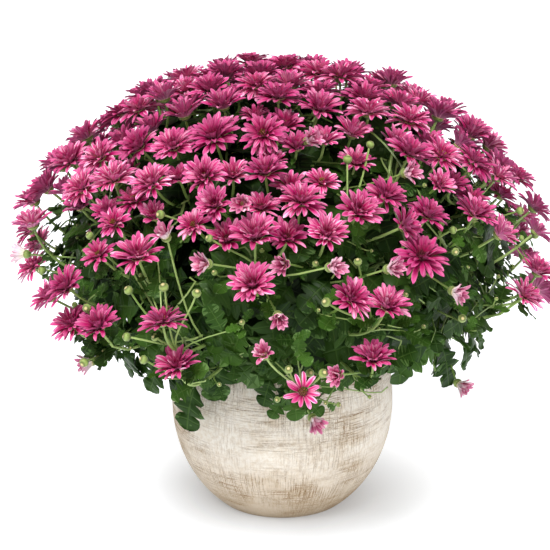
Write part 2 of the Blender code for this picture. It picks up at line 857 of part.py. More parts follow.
def head_vertex(vertex, head):
    """Place of a sphere's vertex in the head's own space: two layers of petals, cut as stars, and the disc."""
    distance, angle = ring_of(vertex)
    upper = vertex.co.z > 0
    step = round(angle / (math.pi / PETALS_IN_A_LAYER))
    if distance < 0.01:
        return Vector((0, 0, 0.05 if upper else -HEAD_DEPTH)) * head.radius
    if upper:
        reach, level = (0.64, 0.34) if step % 2 else (0.30, 0.13)
    else:
        reach, level = (0.60, -0.03) if step % 2 else (1.0, 0.04)
    return Vector((reach * math.cos(angle), reach * math.sin(angle), level)) * head.radius


def head_space(head, spin):
    """Matrix from a head's own space, with its face along +Z, to the world."""
    if head.parent:
        towards = head.parent.centre - head.centre
    else:
        towards = turned(head.axis.orthogonal(), head.axis, spin)
    first = (towards - head.axis * towards.dot(head.axis)).normalized()
    turn = Matrix((first, head.axis.cross(first), head.axis)).transposed()
    return Matrix.Translation(head.centre) @ turn.to_4x4()


def hold_back(point, head, others):
    """Move a point back to its head's side of the plane between it and each other head, with room for a gap."""
    for other in others:
        way = (other.centre - head.centre).normalized()
        share = head.radius / (head.radius + other.radius)
        limit = (other.centre - head.centre).length * share - GAP * 2 / 3
        beyond = (point - head.centre).dot(way) - limit
        if beyond > 0:
            point = point - way * beyond
    return point


def head_solid(head, near, spin, collection):
    """One flower head. Its first petal runs on into its parent, so that a cluster is one body."""
    shape = bmesh.new()
    bmesh.ops.create_uvsphere(shape, u_segments=2 * PETALS_IN_A_LAYER, v_segments=3, radius=1)
    space = head_space(head, spin)
    for vertex in shape.verts:
        distance, angle = ring_of(vertex)
        is_link = head.parent and distance > 0.01 and vertex.co.z < 0 and abs(angle) < 0.01
        if is_link:
            vertex.co = head.parent.centre + head.parent.axis * (DISC_LEVEL * head.parent.radius)
            continue
        point = space @ head_vertex(vertex, head)
        for _ in range(3):
            point = hold_back(point, head, near)
        vertex.co = point
    bmesh.ops.triangulate(shape, faces=shape.faces, quad_method="SHORT_EDGE")
    bmesh.ops.recalc_face_normals(shape, faces=shape.faces)
    return as_object(shape, "head", collection)


def cluster_solid(name, cluster, heads, collection, surface, rng):
    """The heads of one cluster as one body."""
    pieces = []
    for head in cluster:
        near = [other for other in heads if 0 < (other.centre - head.centre).length < NEAR_HEADS]
        pieces.append(head_solid(head, near, rng.uniform(0, 60), collection))
    return join(name, pieces, collection, surface)


def flatten_end(shape, stick):
    """Turn the top of a stalk to face the head that it carries."""
    tip = stick.points[-1]
    for vertex in shape.verts:
        if stick.head and (vertex.co - tip).length < 2 * STALK_RADIUS:
            vertex.co -= stick.head.axis * (vertex.co - tip).dot(stick.head.axis)


def stick_solid(stick, collection):
    """A stem as a four-sided tube along its points, or a straight stalk as a three-sided cone."""
    if len(stick.points) == 2:
        return stalk_solid(stick, collection)
    curve = bpy.data.curves.new("stem", "CURVE")
    curve.dimensions = "3D"
    curve.bevel_depth = 1.0
    curve.bevel_resolution = 0
    curve.use_fill_caps = True
    line = curve.splines.new("POLY")
    line.points.add(len(stick.points) - 1)
    for knot, point, radius in zip(line.points, stick.points, stick.radii):
        knot.co = (*point, 1.0)
        knot.radius = radius
    guide = bpy.data.objects.new("stem_guide", curve)
    collection.objects.link(guide)
    depsgraph = bpy.context.evaluated_depsgraph_get()
    shape = bmesh.new()
    shape.from_mesh(bpy.data.meshes.new_from_object(guide.evaluated_get(depsgraph)))
    bmesh.ops.remove_doubles(shape, verts=shape.verts, dist=MERGE_DISTANCE)
    bmesh.ops.triangulate(shape, faces=shape.faces)
    bmesh.ops.recalc_face_normals(shape, faces=shape.faces)
    bpy.data.objects.remove(guide, do_unlink=True)
    flatten_end(shape, stick)
    return as_object(shape, "stem", collection)


def stalk_solid(stick, collection):
    """A straight stalk: a cone with three sides."""
    root, tip = stick.points
    shape = bmesh.new()
    bmesh.ops.create_cone(
        shape,
        cap_ends=True,
        segments=3,
        radius1=stick.radii[0] * 1.25,
        radius2=stick.radii[1] * 1.25,
        depth=(tip - root).length,
    )
    turn = (tip - root).to_track_quat("Z", "Y").to_matrix().to_4x4()
    bmesh.ops.transform(shape, verts=shape.verts, matrix=Matrix.Translation((root + tip) / 2) @ turn)
    flatten_end(shape, stick)
    return as_object(shape, "stalk", collection)


def leaf_solid(leaf, collection):
    """A lobed leaf, thickest along its middle, with its base sunk in its stem."""
    shape = bmesh.new()
    bmesh.ops.create_uvsphere(shape, u_segments=10, v_segments=2, radius=1)
    outline = leaf_outline(leaf.length)
    for vertex in shape.verts:
        distance, angle = ring_of(vertex)
        if distance < 0.01:
            thick = LEAF_THICKNESS / 2 if vertex.co.z > 0 else -LEAF_THICKNESS / 2
            vertex.co = leaf_point(leaf, LEAF_HUB * leaf.length, 0.0, thick)
        else:
            along, across = outline[round(angle / (math.pi / 5)) % 10]
            vertex.co = leaf_point(leaf, along, across)
    bmesh.ops.triangulate(shape, faces=shape.faces)
    bmesh.ops.recalc_face_normals(shape, faces=shape.faces)
    return as_object(shape, "leaf", collection)


def bud_vertex(vertex, bud):
    """Place of a sphere's vertex in a bud's own space: a round bud, or the cup of a half-open flower."""
    if not bud.half_open:
        return vertex.co * bud.radius + Vector((0, 0, bud.radius))
    distance, angle = ring_of(vertex)
    if distance < 0.01:
        return Vector((0, 0, 0.7 * bud.radius if vertex.co.z > 0 else 0))
    step = round(angle / (math.pi / HALF_OPEN_PETALS)) % 2
    if vertex.co.z > 0:
        reach, level = (1.0, 1.75) if step else (0.55, 1.15)
    else:
        reach, level = 0.5, 0.4
    return Vector((reach * math.cos(angle), reach * math.sin(angle), level)) * bud.radius


def bud_solid(bud, collection):
    """A round bud or a half-open flower."""
    shape = bmesh.new()
    if bud.half_open:
        bmesh.ops.create_uvsphere(shape, u_segments=2 * HALF_OPEN_PETALS, v_segments=3, radius=1)
    else:
        bmesh.ops.create_uvsphere(shape, u_segments=4, v_segments=3, radius=1)
    turn = bud.axis.to_track_quat("Z", "Y").to_matrix().to_4x4()
    space = Matrix.Translation(bud.seat) @ turn
    for vertex in shape.verts:
        vertex.co = space @ bud_vertex(vertex, bud)
    bmesh.ops.triangulate(shape, faces=shape.faces, quad_method="SHORT_EDGE")
    bmesh.ops.recalc_face_normals(shape, faces=shape.faces)
    return as_object(shape, "bud", collection)


def core_solid(plant, collection):
    """A plant's part of the leafy core: a lumpy, flattened ball, cut off at the planes to its two neighbours."""
    shape = bmesh.new()
    bmesh.ops.create_uvsphere(shape, u_segments=CORE_COLUMNS, v_segments=CORE_ROWS, radius=1)
    for vertex in shape.verts:
        distance, angle = ring_of(vertex)
        azimuth = plant.azimuth + math.degrees(angle) + 180 / CORE_COLUMNS
        vertex.co = core_point(azimuth, max(-1, min(1, vertex.co.z)))
    for side in (-1, 1):
        away = outwards(plant.azimuth + side * (PLANT_ANGLE / 2 + 90))
        everything = [*shape.verts, *shape.edges, *shape.faces]
        bmesh.ops.bisect_plane(shape, geom=everything, plane_co=-away * GAP, plane_no=away, clear_outer=True)
        bmesh.ops.holes_fill(shape, edges=shape.edges)
    bmesh.ops.triangulate(shape, faces=shape.faces)
    bmesh.ops.recalc_face_normals(shape, faces=shape.faces)
    return as_object(shape, "core", collection)


def plant_solid(plant, collection, surface):
    """A plant's core, stems, leaves, buds and half-open flowers as one body."""
    pieces = [core_solid(plant, collection)]
    pieces += [stick_solid(stick, collection) for stick in plant.sticks()]
    pieces += [leaf_solid(leaf, collection) for leaf in plant.leaves]
    pieces += [bud_solid(bud, collection) for bud in plant.buds]
    return join("plant_" + PLANT_NAMES[plant.index], pieces, collection, surface)


def turned_solid(name, profile, collection, surface):
    """A profile of (radius, height) points turned about the pot's axis, applied."""
    shape = bmesh.new()
    corners = [shape.verts.new((radius, 0, height)) for radius, height in profile]
    for start, end in zip(corners, corners[1:]):
        shape.edges.new((start, end))
    guide = as_object(shape, name + "_profile", collection)
    screw = guide.modifiers.new("turn", "SCREW")
    screw.steps = POT_STEPS
    screw.render_steps = POT_STEPS
    screw.use_merge_vertices = True
    screw.merge_threshold = MERGE_DISTANCE
    depsgraph = bpy.context.evaluated_depsgraph_get()
    mesh = bpy.data.meshes.new_from_object(guide.evaluated_get(depsgraph))
    bpy.data.objects.remove(guide, do_unlink=True)
    mesh.materials.append(surface)
    mesh.shade_smooth()
    mesh.set_sharp_from_angle(angle=math.radians(40))
    body = bpy.data.objects.new(name, mesh)
    collection.objects.link(body)
    return body


def inner_profile(inset):
    """The pot's inner side as (radius, height) points from the floor up, moved inwards."""
    top = POT_HEIGHT - RIM_ROUNDING
    wall = [(pot_radius(height) - POT_WALL, height) for height in (0.095, 0.135)]
    corner = [(0.052, POT_FLOOR), (pot_radius(0.040) - 1.6 * POT_WALL, 0.040)]
    profile = [*corner, *wall, (pot_radius(top) - POT_WALL, top)]
    return [(radius - inset, height + inset) for radius, height in profile]


def pot_solid(collection, surface):
    """The bowl: inner side, rounded rim, outer side and the flat foot that it stands on."""
    inner = inner_profile(0.0)
    rim_in = inner[-1][0] + RIM_ROUNDING
    rim_out = pot_radius(POT_HEIGHT - RIM_ROUNDING) - RIM_ROUNDING
    rim = [(rim_in, POT_HEIGHT), (rim_out, POT_HEIGHT)]
    heights = (POT_HEIGHT - RIM_ROUNDING, 0.135, BELLY_HEIGHT, 0.070, 0.044, 0.022, 0.007, 0.0)
    outer = [(pot_radius(height), height) for height in heights]
    profile = [(0.0, POT_FLOOR), *inner, *rim, *outer, (0.0, 0.0)]
    return turned_solid("pot", profile, collection, surface)


def soil_solid(plants, collection, surface):
    """The potting compost that fills the pot, with a hole for each stem."""
    side = [point for point in inner_profile(GAP * 1.6) if point[1] < SOIL_EDGE_HEIGHT]
    top_radius = pot_radius(SOIL_EDGE_HEIGHT) - POT_WALL - GAP * 2
    top = [(top_radius * share, SOIL_EDGE_HEIGHT) for share in (0.0, 0.33, 0.62, 0.85, 1.0)]
    profile = [*top, *reversed(side), (0.0, POT_FLOOR + GAP)]
    soil = turned_solid("soil", profile, collection, surface)
    for vertex in soil.data.vertices:
        distance = math.hypot(vertex.co.x, vertex.co.y)
        if abs(vertex.co.z - SOIL_EDGE_HEIGHT) < 0.00001 and distance < top_radius - 0.001:
            vertex.co.z = soil_height(vertex.co.x, vertex.co.y)
    cutters = new_collection("stem_hole_cutters")
    for plant in plants:
        foot = stem_foot(plant.azimuth)
        bpy.ops.mesh.primitive_cylinder_add(
            vertices=HOLE_SIDES,
            radius=(STEM_RADIUS + HOLE_CLEARANCE) / math.cos(math.pi / HOLE_SIDES),
            depth=2 * HOLE_DEPTH,
            location=foot,
        )
        cutter = bpy.context.object
        cutter.name = "stem_hole"
        cutter.hide_render = True
        cutter.display_type = "WIRE"
        cutter.users_collection[0].objects.unlink(cutter)
        cutters.objects.link(cutter)
    holes = soil.modifiers.new("stem_holes", "BOOLEAN")
    holes.operation = "DIFFERENCE"
    holes.operand_type = "COLLECTION"
    holes.collection = cutters
    return soil


def cluster_names(clusters):
    """A plain name for each cluster: where it sits and its number there."""
    counts = {}
    names = []
    for kind, _, _ in clusters:
        counts[kind] = counts.get(kind, 0) + 1
        names.append(f"blooms_{kind}_{counts[kind]:02d}")
    return names


def main():
    """Build every piece."""
    empty_the_scene()
    collection = new_collection("pot_chrysanthemum")
    glaze = material("whitewashed_ceramic", (0.72, 0.66, 0.57), 0.8)
    compost = material("potting_compost", (0.05, 0.03, 0.02), 0.95)
    green = material("leaves_and_stems", (0.07, 0.16, 0.05), 0.6)
    pink = material("petals", (0.62, 0.09, 0.30), 0.65)
    clusters = all_clusters()
    plants = grow_plants(clusters)
    pot_solid(collection, glaze)
    soil_solid(plants, collection, compost)
    for plant in plants:
        plant_solid(plant, collection, green)
    heads = [head for _, _, cluster in clusters for head in cluster]
    rng = random.Random(5)
    for name, (_, _, cluster) in zip(cluster_names(clusters), clusters):
        cluster_solid(name, cluster, heads, collection, pink, rng)


if __name__ == "__main__":
    main()
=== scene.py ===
# Looks of a potted chrysanthemum in full bloom: metres, +Z up, the front towards -Y.
# An azimuth is in degrees: 0 is the front, 90 is +X and 180 is the back.
# The first part works out the places that the solids give to the heads, stems, leaves and buds. The second
# adds more of them between these, and the third makes the finer pieces.

import math
import random
from dataclasses import dataclass

import bpy
import numpy as np
from mathutils import Matrix, Vector


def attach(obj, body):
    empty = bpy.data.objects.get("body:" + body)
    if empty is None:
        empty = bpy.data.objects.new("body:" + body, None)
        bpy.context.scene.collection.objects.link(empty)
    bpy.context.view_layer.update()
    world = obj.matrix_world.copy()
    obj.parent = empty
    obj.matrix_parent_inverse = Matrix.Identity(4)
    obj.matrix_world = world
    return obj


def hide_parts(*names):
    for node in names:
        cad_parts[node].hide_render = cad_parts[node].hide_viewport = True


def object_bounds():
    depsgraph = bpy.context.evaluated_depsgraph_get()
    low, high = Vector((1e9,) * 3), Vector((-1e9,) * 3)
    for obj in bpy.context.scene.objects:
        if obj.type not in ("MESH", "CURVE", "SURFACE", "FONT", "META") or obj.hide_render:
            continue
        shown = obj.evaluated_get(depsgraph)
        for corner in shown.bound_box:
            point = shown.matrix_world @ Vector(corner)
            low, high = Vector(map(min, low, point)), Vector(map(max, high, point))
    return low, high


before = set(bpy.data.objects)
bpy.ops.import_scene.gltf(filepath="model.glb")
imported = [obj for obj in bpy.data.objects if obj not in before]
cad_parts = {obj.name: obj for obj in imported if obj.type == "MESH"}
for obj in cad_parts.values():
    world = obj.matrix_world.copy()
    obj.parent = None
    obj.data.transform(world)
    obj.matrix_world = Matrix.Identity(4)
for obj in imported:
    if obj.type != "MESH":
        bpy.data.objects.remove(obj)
CAD_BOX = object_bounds()

# Pot, a bowl planter 22 cm wide
POT_RADIUS = 0.110
POT_HEIGHT = 0.165
BELLY_HEIGHT = 0.100
FOOT_RADIUS = 0.064
RIM_RADIUS = 0.099
RIM_ROUNDING = 0.0025
POT_WALL = 0.007
POT_FLOOR = 0.012
POT_SIDES = 144
POT_ROWS = 40
FOOT_FLAT = 0.03
ROUNDING_STEPS = 8
INSIDE_ROWS = 12
INSIDE_BOTTOM = 0.040
INSIDE_CORNER = ((0.060, 0.018), (0.050, POT_FLOOR))

# Soil
SOIL_EDGE_HEIGHT = 0.149
SOIL_MOUND = 0.006
SOIL_RELIEF = 0.0015
HOLE_DEPTH = 0.022
SOIL_SIDES = 72
SOIL_RINGS = 22
SOIL_GRIT = 0.0009
SOIL_BOTTOM = 0.11
SOIL_TAPER = 0.96
CRUMBS = 900
CRUMB_SIZES = (0.0010, 0.0032)
CRUMB_SIDES = 5
CRUMB_BORDER = 0.004
CRUMB_SHAPES = (0.7, 1.2)
CRUMB_SINK = 0.3
GRIT_WAVES = (430, 390)

# Clear space between pieces that touch
GAP = 0.0003
SEAT_GAP = 0.0006

# Surface through the centres of the outermost flower heads
DOME_RADIUS = 0.250
DOME_MIDDLE = 0.262
DOME_RISE = 0.172
DOME_FALL = 0.175
DOME_POWER = 1.8

# Flower heads
HEAD_DEPTH = 0.2
HEAD_BELOW = 0.25
HEAD_ABOVE = 0.4
HEAD_BESIDE = 1.05
NEAR_HEADS = 0.065
GOLDEN_ANGLE = math.pi * (3 - math.sqrt(5))
UP = Vector((0, 0, 1))

# Seeds of the places, the growth and the looks
LAYOUT_SEED = 11
GROWTH_SEED = 23
LOOKS_SEED = 41
FLOWER_SEED = 7
GREENERY_SEED = 60
SOIL_SEED = 3

# Crown: heads spread evenly over the dome, each a little off its place
HEAD_SPACING_AREA = 0.00156
CROWN_SLICE = 0.0002
CROWN_LOWEST = 0.300
CROWN_RADII = (0.0225, 0.0250)
CROWN_SWING = 2
CROWN_LIFTS = (-0.006, 0.004)
CROWN_TILT = 8
CROWN_TURN = 12
OUTERMOST_RISE = 28
RISE_POWER = 1.3
NEAREST_HEADS = 0.034
HEADS_IN_A_CROWN_CLUSTER = 6
CLUSTER_ROUNDS = 30
DRAWN_TOGETHER = 0.1
FRONT_WINDOW_AZIMUTH = 75
FRONT_WINDOW_TOP = 0.395

# Back: looser groups of three heads, low on the sides and back
BACK_CLUSTERS = 7
BACK_AZIMUTHS = (101, 261)
BACK_HEIGHTS = (0.255, 0.190, 0.225)
BACK_RISES = (20, 45)
BACK_SPREAD = 0.021
BACK_RADIUS = 0.023
BACK_SWING = 5
BACK_LIFT = 0.008
BACK_TURN = 12
CORNER_SWING = 25
CORNER_TURN = 8
CORNER_TILT = 6

# Leafy plants
PLANT_NAMES = ("front", "right", "back_right", "back_left", "left")
PLANT_ANGLE = 360 / len(PLANT_NAMES)
STEM_DISTANCE = 0.040
STEM_RADIUS = 0.0040
LEADER_TOP_DISTANCE = 0.055
LEADER_TOP = 0.232
LOWEST_FORK = 0.166
LOW_HEADS = 0.27
LOW_HEAD_SPARE = 0.15
BRANCH_RISE = 0.22
BRANCH_LEAN = 0.14
BRANCH_ENDING = 0.35
BRANCH_BENDS = (0, 0.55, 1)
LOW_BRANCH_BENDS = (0, 0.35, 0.7, 1)
FORKS = (0.02, 0.98)
BRANCH_RADIUS = 0.0026
STALK_RADIUS = 0.0017
TIP_RADIUS = 0.0011
KNEES = (0, 0.010, 0.016, 0.022)
STALK_START = 0.92
STALK_STEP = 0.05
MOST_STALKS = 3
STALK_CLEARANCE = 0.0018
STALK_DROPS = 9
DROP_STEP = 0.03
SEAT_ROOM = 0.0045
SAMPLE_STEP = 0.003
LONGEST_BUD_STALK = 0.16
BUD_RADII = (0.0038, 0.0048)
BUD_STALKS = (0.028, 0.055)
BUD_STARTS = (0.6, 0.95)
BUD_SLANTS = (0.35, 0.9)
BUD_DEPTH = 0.03
BRANCHES_TO_A_BUD = 3
HALF_OPEN_RADIUS = 0.0085
HALF_OPEN_RISE = 35
HALF_OPEN_FORKS = (0.35, 0.45, 0.55, 0.65, 0.75, 0.85, 0.95)
HALF_OPEN_LIFTS = (0.0, 0.008, 0.016)
BUD_TRIES = 12
BUD_SINK = 0.35
BUD_STALK_START = 0.006
BUD_STALK_ROOM = (0.0020, 0.0045)
BUD_ROOM = (0.0015, 0.002)

# Leaves
LEAF_LENGTHS = (0.054, 0.068)
LEAF_COUNT = 60
LEAF_LEVELS = (-0.75, 0.80)
LEAF_ROOT_DEPTH = 0.012
LEAF_BORDER = 0.024
LEAF_CLEARANCE = 0.0022
LEAF_HUB = 0.35
LEAF_DROOP = 0.22
LEAF_FOLD = 0.12
LEAF_TRIES = 16
LEAF_SPREADS = (0.2, 0.9)
SPREAD_STEP = 0.03
LEAF_SHRINK = 0.0008
LEAF_FACES_OUT = 0.6
ROOT_ROOM = 0.022
POT_ROOM = 0.002
LEAVES_APART = 0.004
FURTHEST_LEAF = 0.252

# Leafy core of the bush, which the stems, leaves and flower stalks stand out of
CORE_RADIUS = 0.160
CORE_MIDDLE = 0.262
CORE_RISE = 0.105
CORE_FALL = 0.090
CORE_LUMPS = 0.04

# Heads given one by one on the flanks, cluster by cluster. Each head has its azimuth, its height in
# millimetres, how far its face looks up in degrees, how far it turns to the right, and its radius in
# millimetres.
FLANK_CLUSTERS = (
    ((-73, 298, 55, -20, 24),),
    ((-88, 305, 45, -10, 23),),
    ((-57, 343, 45, 0, 24), (-48, 355, 50, 0, 24), (-61, 366, 40, 0, 23)),
    ((-49, 380, 30, 0, 23), (-36, 384, 35, 0, 23), (-35, 358, 25, 0, 23)),
    ((-24, 393, 45, 0, 26), (-21, 367, 30, 0, 23), (-16, 348, 15, 0, 22)),
    ((-7, 397, 25, 0, 23), (-5, 372, 55, 0, 22)),
    ((-6, 327, 60, 0, 26), (-6, 291, 35, -20, 24)),
    ((-31, 305, 50, 0, 25), (-41, 300, 40, 0, 18), (-40, 326, 25, 0, 18)),
    ((-56, 250, 10, -30, 23), (-49, 266, 40, -10, 23)),
    ((4, 352, 55, 0, 25),),
    ((9, 328, 20, 0, 23), (17, 343, 40, 0, 25), (25, 352, 40, 0, 22), (27, 330, 15, 30, 22)),
    ((40, 378, 60, 0, 24), (51, 372, 45, 0, 23), (42, 354, 20, 0, 18)),
    ((63, 361, 45, 0, 23), (69, 345, 45, 0, 23)),
    ((87, 300, 35, 0, 23), (92, 325, 50, 0, 23)),
    ((48, 328, 40, 10, 23), (53, 308, 25, 30, 22)),
    ((29, 306, 45, 0, 26), (34, 335, 50, 20, 22)),
    ((13, 279, 30, 30, 22), (20, 270, 50, 0, 23)),
    ((-24, 255, 80, 0, 22),),
    ((-49, 231, 40, -10, 23), (-40, 238, 50, 0, 23)),
    ((-22, 213, 50, 0, 23),),
    ((18, 223, 60, 0, 22),),
    ((4, 193, 20, 0, 18),),
    ((73, 292, 20, 20, 19), (70, 257, 40, 0, 23), (61, 245, 40, 0, 22), (78, 230, 10, 40, 22)),
)

# Half-open flowers, given one by one: azimuth and height in millimetres
HALF_OPEN_FLOWERS = (
    (-80, 263), (-92, 330), (-25, 322), (-16, 306), (-12, 312), (-9, 346), (9, 393),
    (31, 362), (12, 357), (0, 308), (21, 298), (36, 296), (9, 300), (36, 273),
    (-1, 266), (-50, 190), (11, 210), (8, 153), (60, 150), (-4, 233), (43, 320),
)

# More foliage than the solids hold, on a smaller copy of the dome and inside it
FOLIAGE_SHARE = 0.82
FOLIAGE_RISE_SHARE = 0.94
FOLIAGE_MIDDLE = 0.240
FOLIAGE_LOW = 0.166
FOLIAGE_TOP = 0.985
COVER_LEAVES = 110
COVER_LEVELS = (0.70, 0.995)
FOLIAGE_LEAVES = 530
INNER_LEAVES = 400
# Painted shade on the outer leaves: none below the first height, then more over the next span, up to the
# share that follows of the darkest. The inner leaves get the darkest painted shade.
PAINTED_SHADE_START = 0.200
PAINTED_SHADE_RISE = 0.070
PAINTED_SHADE = 0.55
INNER_SHARES = (0.50, 0.88)
FOLIAGE_LENGTHS = (0.032, 0.050)
INNER_LENGTHS = (0.050, 0.068)
TWIG_LEAF_LENGTHS = (0.011, 0.028)
TWIGS_ON_A_BRANCH = 6
TWIG_LENGTHS = (0.022, 0.052)
TWIG_BUD_RADII = (0.0018, 0.0034)
TWIG_SHARES = (0.40, 0.52)
TWIGGY_BELOW = 0.34
TWIG_RADIUS = 0.0007
BUD_STALK_RADIUS = 0.0009
BUD_SPACING = 0.016
BUD_FORKS = (0.4, 0.6, 0.8, 0.92)
BUD_REACH = (0.02, 0.14)
FOLIAGE_TRIES = 8
FOLIAGE_SHRINK = 0.003
FOLIAGE_SWING = 4
FOLIAGE_TILT = 40
FOLIAGE_REACHES = (0.90, 1.06)
COVER_REACHES = (0.92, 1.0)
LEAF_CENTRE = 0.45
FOLIAGE_RISES = (-25, 75)
FOLIAGE_LOOKS_UP = (0.0, 0.9)
FOLIAGE_HANGS = (0.1, 1.0)
FOLIAGE_SIDEWAYS = 1.6
FOLIAGE_OUTWARDS = 0.8
NEAR_POT = 0.001
NEAR_HEAD = 0.0005
CROWDED_TOP = 0.8
HANGING_BELOW = 0.7

# Lower edge of the foliage, and the room in front of a head that leaves keep clear
EDGE_HEIGHT = 0.157
EDGE_RISE = 0.36
FACE_DEPTH = 0.050
FACE_SHARE = 0.8

# Young shoots that fill the flanks between the heads, each with small leaves and some with a bud
SHOOTS = 190
SPARSE_AZIMUTHS = (-125, -50)
SHOOT_HEIGHTS = (0.165, 0.365)
SHOOT_SHARES = (0.86, 0.985)
SHOOT_LEAVES = 5
SHOOT_LEAF_LENGTHS = (0.014, 0.030)
SHOOT_REACH = (0.012, 0.110)
SHOOT_SWING = 30
SHOOT_RISES = (5, 60)
SHOOT_LEAF_SLANTS = (0.2, 1.0)
SHOOT_LEAF_RISE = 0.8
SHOOT_LEAF_GROWTH = 1.6
SHOOT_LEAF_SIZES = (0.75, 1.15)

# Leaves that hang over the rim, given one by one: azimuth, height of the root and distance from the axis in
# millimetres, degrees that the leaf swings to the right as it hangs, and length in millimetres
RIM_LEAVES = (
    (-39, 152, 130, -12, 50), (-44, 168, 128, -35, 40), (-25, 192, 130, -5, 50), (-33, 180, 127, 15, 42),
    (-14, 194, 127, 5, 38), (-5, 168, 125, -20, 30), (4, 158, 124, 10, 34), (9, 150, 124, 40, 28),
    (0, 148, 124, -30, 24), (24, 194, 132, 5, 38), (38, 198, 134, -10, 40), (53, 186, 134, 0, 44),
    (60, 186, 172, 10, 46), (72, 180, 182, 20, 36), (-52, 172, 145, -20, 40), (-60, 178, 160, -25, 34),
)

# Smaller heads that fill the gaps of the crown, but for one place at the front where the stalks show
GAP_HEADS = 72
GAP_TRIES = 3000
GAP_RADII = (0.0175, 0.0215)
GAP_DEPTHS = (0.010, 0.018)
GAP_LOWEST = 0.328
NEAREST_GAP_HEADS = 0.0265
OPEN_AZIMUTHS = (12, 44)
OPEN_BELOW = 0.385

# How far a head turns up towards the light, and how much the heads differ from each other
TURN_TO_LIGHT = 0.5
HEAD_SWAY = 0.2

# Buds, given one by one: azimuth and height in millimetres
BUDS = (
    (-46, 313), (-110, 233), (-16, 325), (-29, 338), (-26, 345), (-27, 358), (-60, 330), (-17, 283),
    (-33, 288), (-32, 278), (-24, 285), (29, 388), (19, 380), (6, 310), (11, 308), (15, 308),
    (20, 312), (38, 305), (42, 303), (69, 315), (66, 308), (94, 265), (56, 315), (31, 285),
    (36, 280), (30, 323), (-70, 145), (-19, 208), (-26, 240), (-30, 215), (-33, 235), (-43, 253),
    (1, 218), (8, 213), (38, 248), (8, 278), (17, 273),
)


def outwards(azimuth):
    """Horizontal unit vector away from the pot's axis at an azimuth in degrees."""
    angle = math.radians(azimuth)
    return Vector((math.sin(angle), -math.cos(angle), 0.0))


def golden(index):
    """Azimuth of one in a row of things spread evenly by the golden angle."""
    return math.degrees(index * GOLDEN_ANGLE) % 360 - 180


def between(ends, share):
    """A value at a share of the way from one to the other."""
    return ends[0] + (ends[1] - ends[0]) * share


def azimuth_of(point):
    """Azimuth of a point in degrees, between -180 and 180."""
    return math.degrees(math.atan2(point[0], -point[1]))


def dome_radius(height):
    """Distance of the flower heads' centres from the axis at a height."""
    if height > DOME_MIDDLE:
        share = min(1.0, (height - DOME_MIDDLE) / DOME_RISE)
        return DOME_RADIUS * (1 - share**DOME_POWER) ** (1 / DOME_POWER)
    share = min(1.0, (DOME_MIDDLE - height) / DOME_FALL)
    return DOME_RADIUS * math.sqrt(1 - share * share)


def dome_point(azimuth, height):
    """The point of the dome at an azimuth and height."""
    return outwards(azimuth) * dome_radius(height) + UP * height


def pot_radius(height):
    """Outer radius of the pot: two half ellipses that meet at the belly."""
    if height < BELLY_HEIGHT:
        reach = BELLY_HEIGHT / math.sqrt(1 - (FOOT_RADIUS / POT_RADIUS) ** 2)
    else:
        reach = (POT_HEIGHT - BELLY_HEIGHT) / math.sqrt(1 - (RIM_RADIUS / POT_RADIUS) ** 2)
    return POT_RADIUS * math.sqrt(1 - ((height - BELLY_HEIGHT) / reach) ** 2)


# Flower heads and their clusters


@dataclass(eq=False)
class Head:
    """A flower head: its centre, the way it faces and its radius."""

    centre: Vector
    axis: Vector
    radius: float

    def seat(self):
        """Where the top of its stalk stands, a gap below its underside."""
        return self.centre - self.axis * (HEAD_DEPTH * self.radius + SEAT_GAP)


def facing(azimuth, rise):
    """Unit vector that points along an azimuth and up by an angle in degrees."""
    angle = math.radians(rise)
    return outwards(azimuth) * math.cos(angle) + UP * math.sin(angle)


def rise_at(height):
    """How far a head of the crown looks up at a height, in degrees."""
    return between((90, OUTERMOST_RISE), (dome_radius(height) / DOME_RADIUS) ** RISE_POWER)


def flank_head(azimuth, height, rise, turn, radius):
    """A head at a listed place on the dome."""
    centre = dome_point(azimuth, height / 1000)
    return Head(centre, facing(azimuth + turn, rise), radius / 1000)


def crown_heights():
    """Heights that split the crown, from the top down, into rings of one head's area each."""
    heights = []
    area = 0.0
    height = DOME_MIDDLE + DOME_RISE
    while height > CROWN_LOWEST:
        radius = dome_radius(height - CROWN_SLICE)
        slant = math.hypot(CROWN_SLICE, radius - dome_radius(height))
        area += 2 * math.pi * radius * slant
        if area > HEAD_SPACING_AREA * (len(heights) + 0.5):
            heights.append(height)
        height -= CROWN_SLICE
    return heights


def in_front_window(azimuth, height):
    """Whether a place lies in the part of the front where the heads are listed one by one."""
    return abs(azimuth) < FRONT_WINDOW_AZIMUTH and height < FRONT_WINDOW_TOP


def crown_heads(taken, rng):
    """Heads spread over the crown, each a little off its place and clear of those taken."""
    heads = []
    for index, height in enumerate(crown_heights()):
        azimuth = golden(index) + rng.uniform(-CROWN_SWING, CROWN_SWING)
        lift = rng.uniform(*CROWN_LIFTS)
        rise = rise_at(height) + rng.uniform(-CROWN_TILT, CROWN_TILT)
        turn = rng.uniform(-CROWN_TURN, CROWN_TURN)
        radius = rng.uniform(*CROWN_RADII)
        centre = dome_point(azimuth, height) + facing(azimuth, rise) * lift
        crowded = any((centre - other.centre).length < NEAREST_HEADS for other in taken)
        if not in_front_window(azimuth, height) and not crowded:
            heads.append(Head(centre, facing(azimuth + turn, rise), radius))
    return heads


def plant_of(point):
    """Index of the plant whose sector holds a point."""
    return round((azimuth_of(point) % 360) / PLANT_ANGLE) % len(PLANT_NAMES)


def middle(heads):
    """Mean of the centres of some heads."""
    total = Vector((0, 0, 0))
    for head in heads:
        total += head.centre
    return total / len(heads)


def innermost(cluster):
    """The head of a cluster that its branch ends under: the one nearest to the middle."""
    centre = middle(cluster)
    return min(cluster, key=lambda head: (head.centre - centre).length)


